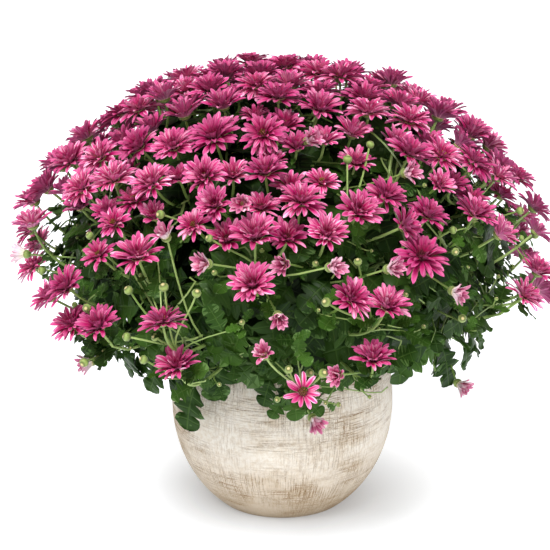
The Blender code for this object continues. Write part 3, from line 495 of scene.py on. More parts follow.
def even_clusters(heads, count):
    """Split heads into clusters of nearly equal size, each round its own middle."""
    ordered = sorted(heads, key=lambda head: head.centre.z)
    size = len(ordered) / count
    clusters = [ordered[round(i * size) : round((i + 1) * size)] for i in range(count)]
    most = math.ceil(size)
    for _ in range(CLUSTER_ROUNDS):
        middles = [middle(cluster) for cluster in clusters]
        choices = []
        for head in ordered:
            away = sorted(range(count), key=lambda i: (head.centre - middles[i]).length)
            regret = (head.centre - middles[away[-1]]).length - (head.centre - middles[away[0]]).length
            choices.append((-regret, len(choices), head, away))
        clusters = [[] for _ in range(count)]
        for _, _, head, away in sorted(choices, key=lambda choice: choice[:2]):
            nearest = next(i for i in away if len(clusters[i]) < most)
            clusters[nearest].append(head)
    return clusters


def draw_together(cluster):
    """Move a cluster's heads a little towards its middle, so that their petals meet."""
    centre = middle(cluster)
    for head in cluster:
        head.centre = head.centre.lerp(centre, DRAWN_TOGETHER)


def back_clusters(rng):
    """Looser groups of three heads, low on the sides and back, by a rule."""
    clusters = []
    for index in range(BACK_CLUSTERS):
        azimuth = between(BACK_AZIMUTHS, index / (BACK_CLUSTERS - 1)) + rng.uniform(-BACK_SWING, BACK_SWING)
        height = BACK_HEIGHTS[index % len(BACK_HEIGHTS)] + rng.uniform(-BACK_LIFT, BACK_LIFT)
        rise = rng.uniform(*BACK_RISES)
        turn = rng.uniform(-BACK_TURN, BACK_TURN)
        cluster = []
        for corner in range(3):
            angle = math.radians(90 + 120 * corner + rng.uniform(-CORNER_SWING, CORNER_SWING))
            side = azimuth + math.degrees(BACK_SPREAD * math.cos(angle) / dome_radius(height))
            centre = dome_point(side, height + BACK_SPREAD * math.sin(angle))
            towards = side + turn + rng.uniform(-CORNER_TURN, CORNER_TURN)
            way = facing(towards, rise + rng.uniform(-CORNER_TILT, CORNER_TILT))
            cluster.append(Head(centre, way, BACK_RADIUS))
        clusters.append(cluster)
    return clusters


def all_clusters():
    """Every cluster of heads as (where it sits, its plant, its heads)."""
    rng = random.Random(LAYOUT_SEED)
    flanks = [[flank_head(*head) for head in cluster] for cluster in FLANK_CLUSTERS]
    placed = [head for cluster in flanks for head in cluster]
    crown = crown_heads(placed, rng)
    found = []
    for plant in range(len(PLANT_NAMES)):
        own = [head for head in crown if plant_of(head.centre) == plant]
        count = max(1, round(len(own) / HEADS_IN_A_CROWN_CLUSTER))
        for cluster in even_clusters(own, count):
            draw_together(cluster)
            found.append(("crown", plant, cluster))
    for kind, clusters in (("flank", flanks), ("back", back_clusters(rng))):
        found += [(kind, plant_of(middle(cluster)), cluster) for cluster in clusters]
    return found


# Leafy plants: where their stems, leaves, buds and half-open flowers go


@dataclass(eq=False)
class Stick:
    """A stem, branch or stalk: its points from root to tip, its radii, and the head it ends under, if any."""

    points: list
    radii: list
    head: object = None


@dataclass(eq=False)
class Leaf:
    """A leaf: where it starts, the ways its midrib and its upper face point, and its length."""

    root: Vector
    along: Vector
    up: Vector
    length: float


@dataclass(eq=False)
class Bud:
    """A bud or a half-open flower: its lowest point, its axis and its radius."""

    seat: Vector
    axis: Vector
    radius: float
    half_open: bool

    def stalk_tip(self):
        """Where its stalk ends, a little inside it."""
        return self.seat + self.axis * (BUD_SINK * self.radius)


class Plant:
    """What one rooted plant carries."""

    def __init__(self, index):
        self.index = index
        self.name = "plant_" + PLANT_NAMES[index]
        self.azimuth = index * PLANT_ANGLE
        self.leader = leader_of(self.azimuth)
        self.branches = []
        self.stalks = []
        self.leaves = []
        self.inner_leaves = []
        self.buds = []


class Space:
    """What is already taken, kept as numbers for quick tests of a few sample points."""

    def __init__(self, heads):
        self.centres = np.array([head.centre for head in heads])
        self.axes = np.array([head.axis for head in heads])
        self.radii = np.array([head.radius for head in heads])
        self.starts = np.zeros((0, 3))
        self.ends = np.zeros((0, 3))
        self.widths = np.zeros(0)
        self.owners = np.zeros(0)
        self.blobs = np.zeros((0, 3))

    def add_stick(self, stick, owner):
        """Take the room of a stem."""
        for start, end, radius in zip(stick.points, stick.points[1:], stick.radii):
            self.starts = np.vstack((self.starts, start))
            self.ends = np.vstack((self.ends, end))
            self.widths = np.append(self.widths, radius)
            self.owners = np.append(self.owners, owner)

    def add_blob(self, points):
        """Take the room round the sample points of a leaf, bud or flower."""
        self.blobs = np.vstack((self.blobs, points))

    def from_heads(self, points):
        """How far each point is in front of each head's centre, and how far from the head's axis."""
        apart = points[:, None, :] - self.centres[None]
        along = (apart * self.axes).sum(axis=2)
        return along, np.sqrt(np.maximum(0, (apart**2).sum(axis=2) - along**2))

    def free_of_heads(self, points, margin):
        """Whether no sample point is in or near a flower head."""
        along, across = self.from_heads(points)
        level = (along > -HEAD_BELOW * self.radii - margin) & (along < HEAD_ABOVE * self.radii + margin)
        return not (level & (across < HEAD_BESIDE * self.radii + margin)).any()

    def hides_a_head(self, points):
        """Whether a leaf would lie over the face of a flower head."""
        along, across = self.from_heads(points)
        return bool(((along > 0) & (along < FACE_DEPTH) & (across < FACE_SHARE * self.radii)).any())

    def free_of_stems(self, points, margin, owner=None):
        """Whether no sample point is near a stem, or near one of another plant if an owner is given."""
        chosen = self.owners != owner
        if not chosen.any():
            return True
        run = self.ends[chosen] - self.starts[chosen]
        apart = points[:, None, :] - self.starts[chosen][None]
        share = np.clip((apart * run).sum(axis=2) / (run**2).sum(axis=1), 0, 1)
        distance = np.linalg.norm(apart - share[..., None] * run, axis=2)
        return bool((distance > self.widths[chosen] + margin).all())

    def free_of_blobs(self, points, margin):
        """Whether no sample point is near a leaf, bud or flower."""
        if len(self.blobs) == 0:
            return True
        distance = np.linalg.norm(points[:, None, :] - self.blobs[None], axis=2)
        return bool((distance > margin).all())


def free_of_pot(points, margin):
    """Whether every sample point is off the pot and the soil."""
    for x, y, z in points:
        distance = math.hypot(x, y)
        if z < POT_HEIGHT + margin and distance < RIM_RADIUS + margin:
            return False
        if z < POT_HEIGHT and distance < pot_radius(z) + margin:
            return False
    return True


def samples(start, end, skip=0.0):
    """Points along a straight stretch, without its first bit."""
    length = (end - start).length
    count = max(2, math.ceil(length / SAMPLE_STEP))
    shares = [i / count for i in range(count + 1)]
    return np.array([start.lerp(end, share) for share in shares if share * length >= skip] or [end])


def bezier(a, b, c, d, share):
    """Point of a cubic curve."""
    rest = 1 - share
    return a * rest**3 + b * (3 * share * rest**2) + c * (3 * share**2 * rest) + d * share**3


def curve(bends, rows):
    """Points along a cubic curve, given by its start, its two handles and its end."""
    return [bezier(*bends, index / (rows - 1)) for index in range(rows)]


def point_along(points, share):
    """Point at a share of a broken line's length."""
    lengths = [(b - a).length for a, b in zip(points, points[1:])]
    left = share * sum(lengths)
    for a, b, length in zip(points, points[1:], lengths):
        if left <= length:
            return a.lerp(b, left / length)
        left -= length
    return points[-1].copy()


def soil_height(x, y):
    """Height of the soil's surface: a low mound with a slight relief."""
    share = math.hypot(x, y) / (RIM_RADIUS - POT_WALL)
    bumps = math.sin(90 * x + 1) * math.cos(75 * y) + 0.5 * math.sin(160 * y + 2)
    return SOIL_EDGE_HEIGHT + SOIL_MOUND * max(0, 1 - share * share) + SOIL_RELIEF * bumps * (1 - share**4)


def stem_foot(azimuth):
    """Where a plant's stem enters the soil."""
    place = outwards(azimuth) * STEM_DISTANCE
    place.z = soil_height(place.x, place.y)
    return place


def leader_of(azimuth):
    """The upright stem of a plant, from its hole in the soil to its last fork."""
    foot = stem_foot(azimuth)
    bottom = foot - UP * (HOLE_DEPTH - GAP)
    fork = foot * 1.0
    fork.z = LOWEST_FORK
    top = outwards(azimuth) * LEADER_TOP_DISTANCE
    top.z = LEADER_TOP
    return Stick([bottom, fork, top], [STEM_RADIUS, STEM_RADIUS, 0.75 * STEM_RADIUS])


def branch_bends(head, fork):
    """Start, handles and end of a branch that leaves its fork upwards and ends along the head's axis.

    A low head's branch has spare length, so that it arches over the rim.
    """
    end = head.seat()
    span = (end - fork).length
    spare = LOW_HEAD_SPARE if head.centre.z < LOW_HEADS else 0.0
    rise = UP * ((BRANCH_RISE + spare) * span) + outwards(azimuth_of(end)) * BRANCH_LEAN * span
    return fork, fork + rise, end - head.axis * BRANCH_ENDING * span, end


def branch_to(head, fork):
    """The branch from a fork of the leader to the underside of a head."""
    shares = LOW_BRANCH_BENDS if head.centre.z < LOW_HEADS else BRANCH_BENDS
    bends = branch_bends(head, fork)
    points = [bezier(*bends, share) for share in shares]
    radii = [between((BRANCH_RADIUS, TIP_RADIUS), share) for share in shares]
    return Stick(points, radii, head)


def stalk_to(head, branch, lowest, space):
    """A stalk from the branch to a head: straight, or with a knee, or none if other heads are in its way."""
    seat = head.seat()
    for knee in KNEES:
        for drop in range(STALK_DROPS):
            root = point_along(branch.points, lowest - DROP_STEP * drop)
            points = [root, seat] if knee == 0 else [root, seat - head.axis * knee, seat]
            straight = (points[-1] - points[-2]).normalized().dot(head.axis) > 0.5
            checked = np.vstack([samples(a, b) for a, b in zip(points, points[1:])])
            checked = checked[np.linalg.norm(checked - np.array(seat), axis=1) > SEAT_ROOM]
            if straight and len(checked) and space.free_of_heads(checked, STALK_CLEARANCE):
                return Stick(points, [STALK_RADIUS, STALK_RADIUS, TIP_RADIUS][-len(points) :], head)
    return None


def stalks_to(cluster, branch, space):
    """Stalks for the heads of a cluster that its branch doesn't reach: the outer ones root lower.

    The petals of a cluster's heads hold together, so in a dense cluster one stalk carries the rest.
    """
    rest = [head for head in cluster if head is not branch.head]
    rest.sort(key=lambda head: (head.centre - branch.head.centre).length)
    if len(rest) > MOST_STALKS:
        rest = rest[-1:]
    lowest = [STALK_START - STALK_STEP * order for order in range(len(rest))]
    stalks = [stalk_to(head, branch, share, space) for head, share in zip(rest, lowest)]
    return [stalk for stalk in stalks if stalk]


def turned(vector, axis, degrees):
    """A vector turned about an axis."""
    return Matrix.Rotation(math.radians(degrees), 3, axis) @ vector


def beside(way, degrees):
    """A unit vector square to a direction, turned about it."""
    return turned(way.orthogonal().normalized(), way, degrees)


def square_to(vector, axis):
    """A unit vector square to an axis, in the plane of the axis and a vector."""
    return (vector - axis * vector.dot(axis)).normalized()


def leaf_outline(length):
    """Outline of a lobed leaf as (along, across), from its tip round by its left edge and its base."""
    left = ((0.72, 0.18), (0.62, 0.36), (0.42, 0.16), (0.25, 0.31))
    right = [(along, -across) for along, across in reversed(left)]
    return [(length * a, length * b) for a, b in ((1, 0), *left, (0, 0), *right)]


def leaf_point(leaf, along, across):
    """A point of a leaf in the world: it droops along its midrib and its edges rise a little."""
    share = along / leaf.length
    level = LEAF_FOLD * abs(across) - LEAF_DROOP * leaf.length * share * share
    side = leaf.up.cross(leaf.along)
    return leaf.root + leaf.along * along + side * across + leaf.up * level


def leaf_samples(leaf):
    """Points all over a leaf, for the tests of room."""
    points = []
    hub = (LEAF_HUB * leaf.length, 0.0)
    outline = leaf_outline(leaf.length)
    for start, end in zip(outline, outline[1:] + outline[:1]):
        for share in (0.0, 0.33, 0.67):
            edge = (start[0] + (end[0] - start[0]) * share, start[1] + (end[1] - start[1]) * share)
            for out in (0.35, 0.7, 1.0):
                spot = (hub[0] + (edge[0] - hub[0]) * out, hub[1] + (edge[1] - hub[1]) * out)
                points.append(leaf_point(leaf, *spot))
    return np.array(points)


def free_of_core(points, margin):
    """Whether every sample point is outside the leafy core."""
    for point in points:
        level = (point[2] - CORE_MIDDLE) / (CORE_RISE if point[2] > CORE_MIDDLE else CORE_FALL)
        if abs(level) < 1 and math.hypot(point[0], point[1]) < core_reach(azimuth_of(point), level) + margin:
            return False
    return True


def has_room(points, root, space, margin):
    """Whether the sample points that are not at the root are clear of all that is taken."""
    beyond = points[np.linalg.norm(points - np.array(root), axis=1) > ROOT_ROOM]
    if not free_of_pot(beyond, POT_ROOM) or not space.free_of_heads(points, margin):
        return False
    if not free_of_core(beyond, POT_ROOM):
        return False
    return space.free_of_stems(beyond, margin) and space.free_of_blobs(beyond, LEAVES_APART)


def core_reach(azimuth, level):
    """Distance of the core's lumpy surface from the axis; the level is -1 at its bottom and 1 at its top."""
    turn = math.radians(azimuth)
    lumps = math.sin(3 * turn) * math.sin(4 * level) + math.sin(5 * turn + 3 * level)
    return CORE_RADIUS * (1 + CORE_LUMPS * lumps) * math.sqrt(max(0, 1 - level * level))


def core_point(azimuth, level):
    """Point of the leafy core at an azimuth and level."""
    height = CORE_MIDDLE + level * (CORE_RISE if level > 0 else CORE_FALL)
    return outwards(azimuth) * core_reach(azimuth, level) + UP * height


def grow_leaves(plants, space, rng):
    """Leaves spread evenly over the core of the plants, each where there is room and turned its own way."""
    for index in range(LEAF_COUNT):
        level = between(LEAF_LEVELS, (index + 0.5) / LEAF_COUNT)
        azimuth = golden(index)
        owner = plants[plant_of(outwards(azimuth))].azimuth
        reach = core_reach(azimuth, level)
        limit = PLANT_ANGLE / 2 - math.degrees(LEAF_BORDER / reach)
        azimuth = owner + max(-limit, min(limit, (azimuth - owner + 180) % 360 - 180))
        surface = core_point(azimuth, level)
        normal = facing(azimuth, math.degrees(math.asin(level)))
        root = surface - normal * LEAF_ROOT_DEPTH
        plant = plants[plant_of(surface)]
        for attempt in range(LEAF_TRIES):
            share = rng.uniform(*LEAF_SPREADS) + SPREAD_STEP * attempt
            along = (normal + beside(normal, rng.uniform(0, 360)) * share).normalized()
            up = square_to(UP + outwards(azimuth) * LEAF_FACES_OUT, along)
            leaf = Leaf(root, along, up, rng.uniform(*LEAF_LENGTHS) - LEAF_SHRINK * attempt)
            points = leaf_samples(leaf)
            inside = np.linalg.norm(points[:, :2], axis=1).max() < FURTHEST_LEAF
            if inside and has_room(points, root, space, LEAF_CLEARANCE):
                plant.leaves.append(leaf)
                space.add_blob(points)
                break


def bud_samples(bud):
    """Points round a bud, for the tests of room."""
    centre = bud.seat + bud.axis * bud.radius
    around = [bud.axis, -bud.axis, *[beside(bud.axis, 90 * quarter) for quarter in range(4)]]
    return np.array([centre + way * bud.radius for way in around])


def grow_bud(plant, bud, root, space):
    """Add a bud or half-open flower on a straight stalk, if both have room."""
    reach = (bud.seat - root).length
    stalk_points = samples(root, bud.seat, BUD_STALK_START)
    around = bud_samples(bud)
    free = space.free_of_heads(np.vstack((stalk_points, around)), STALK_CLEARANCE)
    free = free and space.free_of_stems(stalk_points, BUD_STALK_ROOM[0], plant.index)
    free = free and space.free_of_stems(around, BUD_ROOM[0])
    free = free and space.free_of_blobs(around, bud.radius + BUD_ROOM[1])
    free = free and space.free_of_blobs(stalk_points, BUD_STALK_ROOM[1])
    if not free or reach > LONGEST_BUD_STALK:
        return False
    stalk = Stick([root, bud.stalk_tip()], [TIP_RADIUS, TIP_RADIUS])
    plant.stalks.append(stalk)
    plant.buds.append(bud)
    space.add_stick(stalk, plant.index)
    space.add_blob(around)
    return True


def grow_half_open(plant, azimuth, height, space):
    """A half-open flower at a place of the dome, on a stalk from the nearest branch that can reach it."""
    place = dome_point(azimuth, height / 1000)
    outward = facing(azimuth, HALF_OPEN_RISE)
    choices = []
    for branch in plant.branches:
        for share in HALF_OPEN_FORKS:
            root = point_along(branch.points, share)
            choices.append(((place - root).length, len(choices), root))
    for lift in HALF_OPEN_LIFTS:
        for _, _, root in sorted(choices, key=lambda choice: choice[:2]):
            way = (place - root).normalized()
            axis = (way + outward).normalized()
            bud = Bud(place + outward * lift - axis * HALF_OPEN_RADIUS, axis, HALF_OPEN_RADIUS, True)
            if grow_bud(plant, bud, root, space):
                return


def grow_round_bud(plant, branch, space, rng):
    """A round bud on a stalk beside a cluster of heads."""
    for _ in range(BUD_TRIES):
        root = point_along(branch.points, rng.uniform(*BUD_STARTS))
        way = (branch.points[-1] - branch.points[-2]).normalized()
        side = beside(way, rng.uniform(0, 360))
        slant = (way + side * rng.uniform(*BUD_SLANTS)).normalized()
        seat = root + slant * rng.uniform(*BUD_STALKS)
        inside = math.hypot(seat.x, seat.y) < dome_radius(seat.z) - BUD_DEPTH
        bud = Bud(seat, slant, rng.uniform(*BUD_RADII), False)
        if not inside and grow_bud(plant, bud, root, space):
            return


def grow_plants(clusters):
    """All the leafy plants that carry the clusters of heads."""
    rng = random.Random(GROWTH_SEED)
    space = Space([head for _, _, cluster in clusters for head in cluster])
    plants = [Plant(index) for index in range(len(PLANT_NAMES))]
    for plant in plants:
        own = [cluster for _, owner, cluster in clusters if owner == plant.index]
        own.sort(key=lambda cluster: middle(cluster).z)
        for order, cluster in enumerate(own):
            share = between(FORKS, order / (len(own) - 1))
            fork = plant.leader.points[1].lerp(plant.leader.points[2], share)
            branch = branch_to(innermost(cluster), fork)
            plant.branches.append(branch)
            plant.stalks.extend(stalks_to(cluster, branch, space))
        for stick in [plant.leader, *plant.branches, *plant.stalks]:
            space.add_stick(stick, plant.index)
    for azimuth, height in HALF_OPEN_FLOWERS:
        grow_half_open(plants[plant_of(dome_point(azimuth, height / 1000))], azimuth, height, space)
    for plant in plants:
        for branch in plant.branches[::BRANCHES_TO_A_BUD]:
            grow_round_bud(plant, branch, space, rng)
    grow_leaves(plants, space, rng)
    return plants


# More foliage than the solids hold, on a smaller copy of the dome and inside it


def fill_gaps(clusters, heads, rng):
    """Add smaller heads between those of the crown, each to the cluster of its nearest head."""
    owners = {id(head): cluster for _, _, cluster in clusters for head in cluster}
    added = 0
    for _ in range(GAP_TRIES):
        azimuth = rng.uniform(-180, 180)
        height = rng.uniform(GAP_LOWEST, DOME_MIDDLE + DOME_RISE - 0.003)
        axis = facing(azimuth, rise_at(height))
        centre = dome_point(azimuth, height) - axis * rng.uniform(*GAP_DEPTHS)
        nearest = min(heads, key=lambda head: (head.centre - centre).length)
        left_open = OPEN_AZIMUTHS[0] < azimuth < OPEN_AZIMUTHS[1] and height < OPEN_BELOW
        if left_open or (nearest.centre - centre).length < NEAREST_GAP_HEADS or added == GAP_HEADS:
            continue
        head = Head(centre, axis, rng.uniform(*GAP_RADII))
        owners[id(nearest)].append(head)
        owners[id(head)] = owners[id(nearest)]
        heads.append(head)
        added += 1


def turn_to_light(heads, rng):
    """Turn each head up a little, more so low on the plant, and each a little its own way."""
    for head in heads:
        sway = Vector((rng.uniform(-1, 1), rng.uniform(-1, 1), rng.uniform(-1, 1))) * HEAD_SWAY
        head.axis = (head.axis + UP * TURN_TO_LIGHT + sway).normalized()


def add_on_dome(plants, azimuth, height, radius, half_open, space):
    """A bud or half-open flower at a place of the dome, on the shortest stalk, if none is there yet."""
    place = dome_point(azimuth, height / 1000)
    plant = plants[plant_of(place)]
    if any((bud.seat - place).length < BUD_SPACING for other in plants for bud in other.buds):
        return
    best = None
    for branch in plant.branches:
        for share in BUD_FORKS:
            root = point_along(branch.points, share)
            reach = (place - root).length
            axis = ((place - root).normalized() + facing(azimuth, HALF_OPEN_RISE) * 0.6).normalized()
            bud = Bud(place - axis * radius, axis, radius, half_open)
            clear = BUD_REACH[0] < reach < BUD_REACH[1] and root.z < place.z + 0.01
            if clear and space.free_of_heads(bud_samples(bud), 0.0) and (best is None or reach < best[0]):
                best = (reach, bud, root)
    if best:
        _, bud, root = best
        plant.buds.append(bud)
        plant.stalks.append(Stick([root, bud.stalk_tip()], [TIP_RADIUS] * 2))


def foliage_place(azimuth, level, share):
    """A place of the foliage: level runs from 0 at its lowest leaves to 1 at its top."""
    top = FOLIAGE_MIDDLE + (DOME_MIDDLE + DOME_RISE - FOLIAGE_MIDDLE) * FOLIAGE_RISE_SHARE
    height = FOLIAGE_LOW + (top - FOLIAGE_LOW) * level
    on_dome = FOLIAGE_MIDDLE + (height - FOLIAGE_MIDDLE) / FOLIAGE_RISE_SHARE
    reach = dome_radius(on_dome) * FOLIAGE_SHARE * share
    height = FOLIAGE_MIDDLE + (height - FOLIAGE_MIDDLE) * share
    return outwards(azimuth) * reach + UP * height


def add_foliage(plants, space, rng):
    """Leaves all round under the heads, with their upper faces outwards, and more of them inside."""
    everywhere = (0.0, FOLIAGE_TOP)
    spread_leaves(plants, FOLIAGE_LEAVES, everywhere, FOLIAGE_REACHES, FOLIAGE_LENGTHS, False, space, rng)
    spread_leaves(plants, INNER_LEAVES, everywhere, INNER_SHARES, INNER_LENGTHS, True, space, rng)
    spread_leaves(plants, COVER_LEAVES, COVER_LEVELS, COVER_REACHES, INNER_LENGTHS, True, space, rng)


def above_edge(points):
    """Whether a leaf stays above the foliage's lower edge, which rises from the rim to the front and back."""
    limit = EDGE_HEIGHT + EDGE_RISE * (np.abs(points[:, 1]) - RIM_RADIUS)
    return bool((points[:, 2] > limit).all())


def foliage_leaf(place, azimuth, level, lengths, attempt, rng):
    """A leaf at a place of the foliage: its face outwards and up, its tip down or, near the top, any way."""
    normal = facing(azimuth, between(FOLIAGE_RISES, level))
    up = turned(normal, outwards(azimuth + 90), rng.uniform(-FOLIAGE_TILT, FOLIAGE_TILT))
    up = (up + UP * rng.uniform(*FOLIAGE_LOOKS_UP)).normalized()
    side = outwards(azimuth + 90) * rng.uniform(-FOLIAGE_SIDEWAYS, FOLIAGE_SIDEWAYS)
    along = (outwards(azimuth) * FOLIAGE_OUTWARDS - UP) * rng.uniform(*FOLIAGE_HANGS) + side
    if level > HANGING_BELOW:
        along = turned(normal.orthogonal(), normal, rng.uniform(0, 360))
    along = square_to(along, up)
    length = rng.uniform(*lengths) - FOLIAGE_SHRINK * attempt
    return Leaf(place - along * (LEAF_CENTRE * length), along, up, length)


def spread_leaves(plants, count, levels, shares, lengths, inside, space, rng):
    """Leaves spread by the golden angle over the foliage's surface, or over a smaller copy of it."""
    for index in range(count):
        level = between(levels, 1 - (1 - (index + 0.5) / count) ** CROWDED_TOP)
        azimuth = golden(index) + rng.uniform(-FOLIAGE_SWING, FOLIAGE_SWING)
        place = foliage_place(azimuth, level, rng.uniform(*shares))
        plant = plants[plant_of(place)]
        for attempt in range(FOLIAGE_TRIES):
            leaf = foliage_leaf(place, azimuth, level, lengths, attempt, rng)
            points = leaf_samples(leaf)
            within = np.linalg.norm(points[:, :2], axis=1).max() < FURTHEST_LEAF
            within = within and above_edge(points) and not space.hides_a_head(points)
            if within and free_of_pot(points, NEAR_POT) and space.free_of_heads(points, NEAR_HEAD):
                (plant.inner_leaves if inside else plant.leaves).append(leaf)
                break


def add_rim_leaves(plants):
    """The leaves that hang over the rim."""
    for azimuth, height, distance, swing, length in RIM_LEAVES:
        root = outwards(azimuth) * (distance / 1000) + UP * (height / 1000)
        turn = math.radians(swing)
        along = outwards(azimuth + 90) * math.sin(turn) - UP * math.cos(turn)
        along = (along + outwards(azimuth) * 0.25).normalized()
        up = square_to(outwards(0.6 * azimuth) + UP * 0.35, along)
        plants[plant_of(root)].leaves.append(Leaf(root, along, up, length / 1000))


# Patches of mesh


# What each point of a mesh is told: its share of the way along a petal, leaf or stem, its place across it
# from -1 to 1, a random tone for each petal or leaf, and how far in it grows, from 0 outside to 1 inside.
# On a leaf this last mark is painted shade instead: 0 for none, 1 for the darkest.
MARKS = ("along", "across", "tone", "inner")
SHARPEST = 55

# Places in a piece's list of materials: discs in a flower piece, the others in a plant piece, bracts in both
DISC_SKIN = 2
STEM_SKIN = 2
BRACT_SKIN = 3
YOUNG_SKIN = 4


class Patchwork:
    """Gathers patches of points and faces, with the numbers that the materials read, into one mesh."""

    def __init__(self):
        self.points = []
        self.faces = []
        self.skins = []
        self.marks = []
        self.size = 0

    def add(self, points, faces, skins, marks):
        """Add copies of a patch: points (copies, n, 3), faces (m, 3 or 4), skins and marks (copies, n, 4)."""
        copies, count = points.shape[:2]
        self.join(faces, skins, self.size + count * np.arange(copies))
        self.points.append(points.reshape(-1, 3))
        self.marks.append(np.broadcast_to(marks, (copies, count, 4)).reshape(-1, 4))
        self.size += copies * count

    def join(self, faces, skins, starts):
        """Add faces once for each start, the number that their first point has in the whole mesh."""
        self.faces.append((faces[None] + starts[:, None, None]).reshape(-1, faces.shape[1]))
        self.skins.append(np.tile(np.broadcast_to(skins, len(faces)), len(starts)))

    def add_rings(self, rings, ends, skin, along=(1.0, 0.0), tone=0.0, order=1):
        """Add a closed form: rings of points joined in turn, with a point to close each end.

        Order is -1 for rings whose points run the other way round.
        """
        rows, sides = rings.shape[:2]
        grid = np.arange(rows * sides).reshape(rows, sides)
        wrapped = np.concatenate((grid, grid[:, :1]), axis=1)
        fans = [(rows * sides, a, b) for a, b in zip(wrapped[0], wrapped[0, 1:])]
        fans += [(rows * sides + 1, b, a) for a, b in zip(wrapped[-1], wrapped[-1, 1:])]
        marks = np.zeros((1, rows * sides + 2, 4))
        marks[0, :-2, 0] = np.repeat(np.linspace(*along, rows), sides)
        marks[0, -2:, 0] = along
        marks[..., 2] = tone
        start = self.size
        body = np.concatenate((rings.reshape(-1, 3), ends))[None]
        self.add(body, grid_faces(wrapped)[:, ::order], skin, marks)
        self.join(np.array(fans)[:, ::order], skin, np.array([start]))

    def piece(self, name, surfaces):
        """The mesh object, smooth but for its sharpest edges."""
        points = np.clip(np.concatenate(self.points), *np.array(CAD_BOX)).astype(np.float32)
        corners = np.concatenate([faces.ravel() for faces in self.faces])
        sizes = np.concatenate([np.full(len(faces), faces.shape[1]) for faces in self.faces])
        mesh = bpy.data.meshes.new(name)
        mesh.vertices.add(len(points))
        mesh.vertices.foreach_set("co", points.ravel())
        mesh.loops.add(len(corners))
        mesh.loops.foreach_set("vertex_index", corners.astype(np.int32))
        mesh.polygons.add(len(sizes))
        starts = np.concatenate(([0], np.cumsum(sizes)[:-1])).astype(np.int32)
        mesh.polygons.foreach_set("loop_start", starts)
        mesh.polygons.foreach_set("material_index", np.concatenate(self.skins).astype(np.int32))
        mesh.update(calc_edges=True)
        marks = np.concatenate(self.marks).astype(np.float32)
        for column, mark in enumerate(MARKS):
            mesh.attributes.new(mark, "FLOAT", "POINT").data.foreach_set("value", marks[:, column].copy())
        mesh.shade_smooth()
        mesh.set_sharp_from_angle(angle=math.radians(SHARPEST))
        for surface in surfaces:
            mesh.materials.append(surface)
        made = bpy.data.objects.new(name, mesh)
        bpy.context.scene.collection.objects.link(made)
        return made


def grid_faces(grid):
    """Four-sided faces between the numbered points of a grid."""
    corners = (grid[:-1, :-1], grid[1:, :-1], grid[1:, 1:], grid[:-1, 1:])
    return np.stack(corners, axis=-1).reshape(-1, 4)


def blade_faces(rows, columns):
    """Faces of a closed blade, and 0 for those on its upper side and 1 for those underneath.

    Its upper side is a grid of points, and its underside shares the points of the rim.
    """
    upper = np.arange(rows * columns).reshape(rows, columns)
    lower = upper.copy()
    inner = np.arange((rows - 2) * (columns - 2)).reshape(rows - 2, columns - 2)
    lower[1:-1, 1:-1] = rows * columns + inner
    top = grid_faces(upper)
    bottom = grid_faces(lower)[:, ::-1]
    return np.concatenate((top, bottom)), np.repeat((0, 1), len(top))


def blade_points(upper, under):
    """The points of blades: the grid of the upper side, then the inner ones moved to the underside."""
    copies = len(upper)
    lower = (upper + under)[:, 1:-1, 1:-1]
    return np.concatenate((upper.reshape(copies, -1, 3), lower.reshape(copies, -1, 3)), axis=1)


def blade_marks(along, across, tone, inner):
    """Marks for the points of blades, with a tone for each copy."""
    copies = len(tone)
    rows, columns = along.shape
    grid = np.zeros((copies, rows, columns, 4))
    grid[..., 0] = along
    grid[..., 1] = across
    grid[..., 2] = np.asarray(tone)[:, None, None]
    grid[..., 3] = inner
    lower = grid[:, 1:-1, 1:-1]
    return np.concatenate((grid.reshape(copies, -1, 4), lower.reshape(copies, -1, 4)), axis=1)


def spread(rng, low, high, count):
    """A random number for each copy of a blade, shaped to go with its grid of points."""
    return rng.uniform(low, high, count)[:, None, None]


def tube(patchwork, points, radii, sides, tone, along):
    """A round stem through some points, closed at both ends."""
    line = np.array([tuple(point) for point in points])
    ways = np.gradient(line, axis=0)
    ways /= np.linalg.norm(ways, axis=1)[:, None]
    turns = 2 * math.pi * np.arange(sides) / sides
    side = np.cross(ways[0], (0.3, 0.5, 0.8))
    rings = []
    for place, way, radius in zip(line, ways, radii):
        side = side - way * side.dot(way)
        side /= np.linalg.norm(side)
        third = np.cross(way, side)
        rings.append(place + radius * (np.cos(turns)[:, None] * side + np.sin(turns)[:, None] * third))
    patchwork.add_rings(np.array(rings), line[[0, -1]], STEM_SKIN, along, tone, -1)


def add_turned(patchwork, space, profile, size, sides, skin, wave=None):
    """A closed form turned about Z from a profile of (radius, height) that starts and ends on the axis."""
    turns = 2 * math.pi * np.arange(sides) / sides
    rings = []
    for row, (radius, level) in enumerate(profile[1:-1]):
        reach = radius * size * (1 + (wave(turns, row) if wave else 0 * turns))
        height = level * size + 0 * turns
        rings.append(np.stack((reach * np.cos(turns), reach * np.sin(turns), height), axis=-1))
    ends = np.array([(0, 0, level * size) for _, level in (profile[0], profile[-1])])
    patchwork.add_rings(to_world(np.array(rings), space), to_world(ends, space), skin)


def to_world(points, space):
    """Points moved by a four by four matrix."""
    matrix = np.array(space)
    return points @ matrix[:3, :3].T + matrix[:3, 3]


def curve_through(points, rows):
    """Points along a smooth curve that passes through a few points."""
    knots = [points[0] * 2 - points[1], *points, points[-1] * 2 - points[-2]]
    found = []
    spans = len(points) - 1
    for index in range(rows):
        place = spans * index / (rows - 1)
        span = min(int(place), spans - 1)
        share = place - span
        a, b, c, d = knots[span : span + 4]
        point = b * 2 + (c - a) * share + (a * 2 - b * 5 + c * 4 - d) * share**2
        found.append((point + (b * 3 - a - c * 3 + d) * share**3) / 2)
    return found


# Flowers

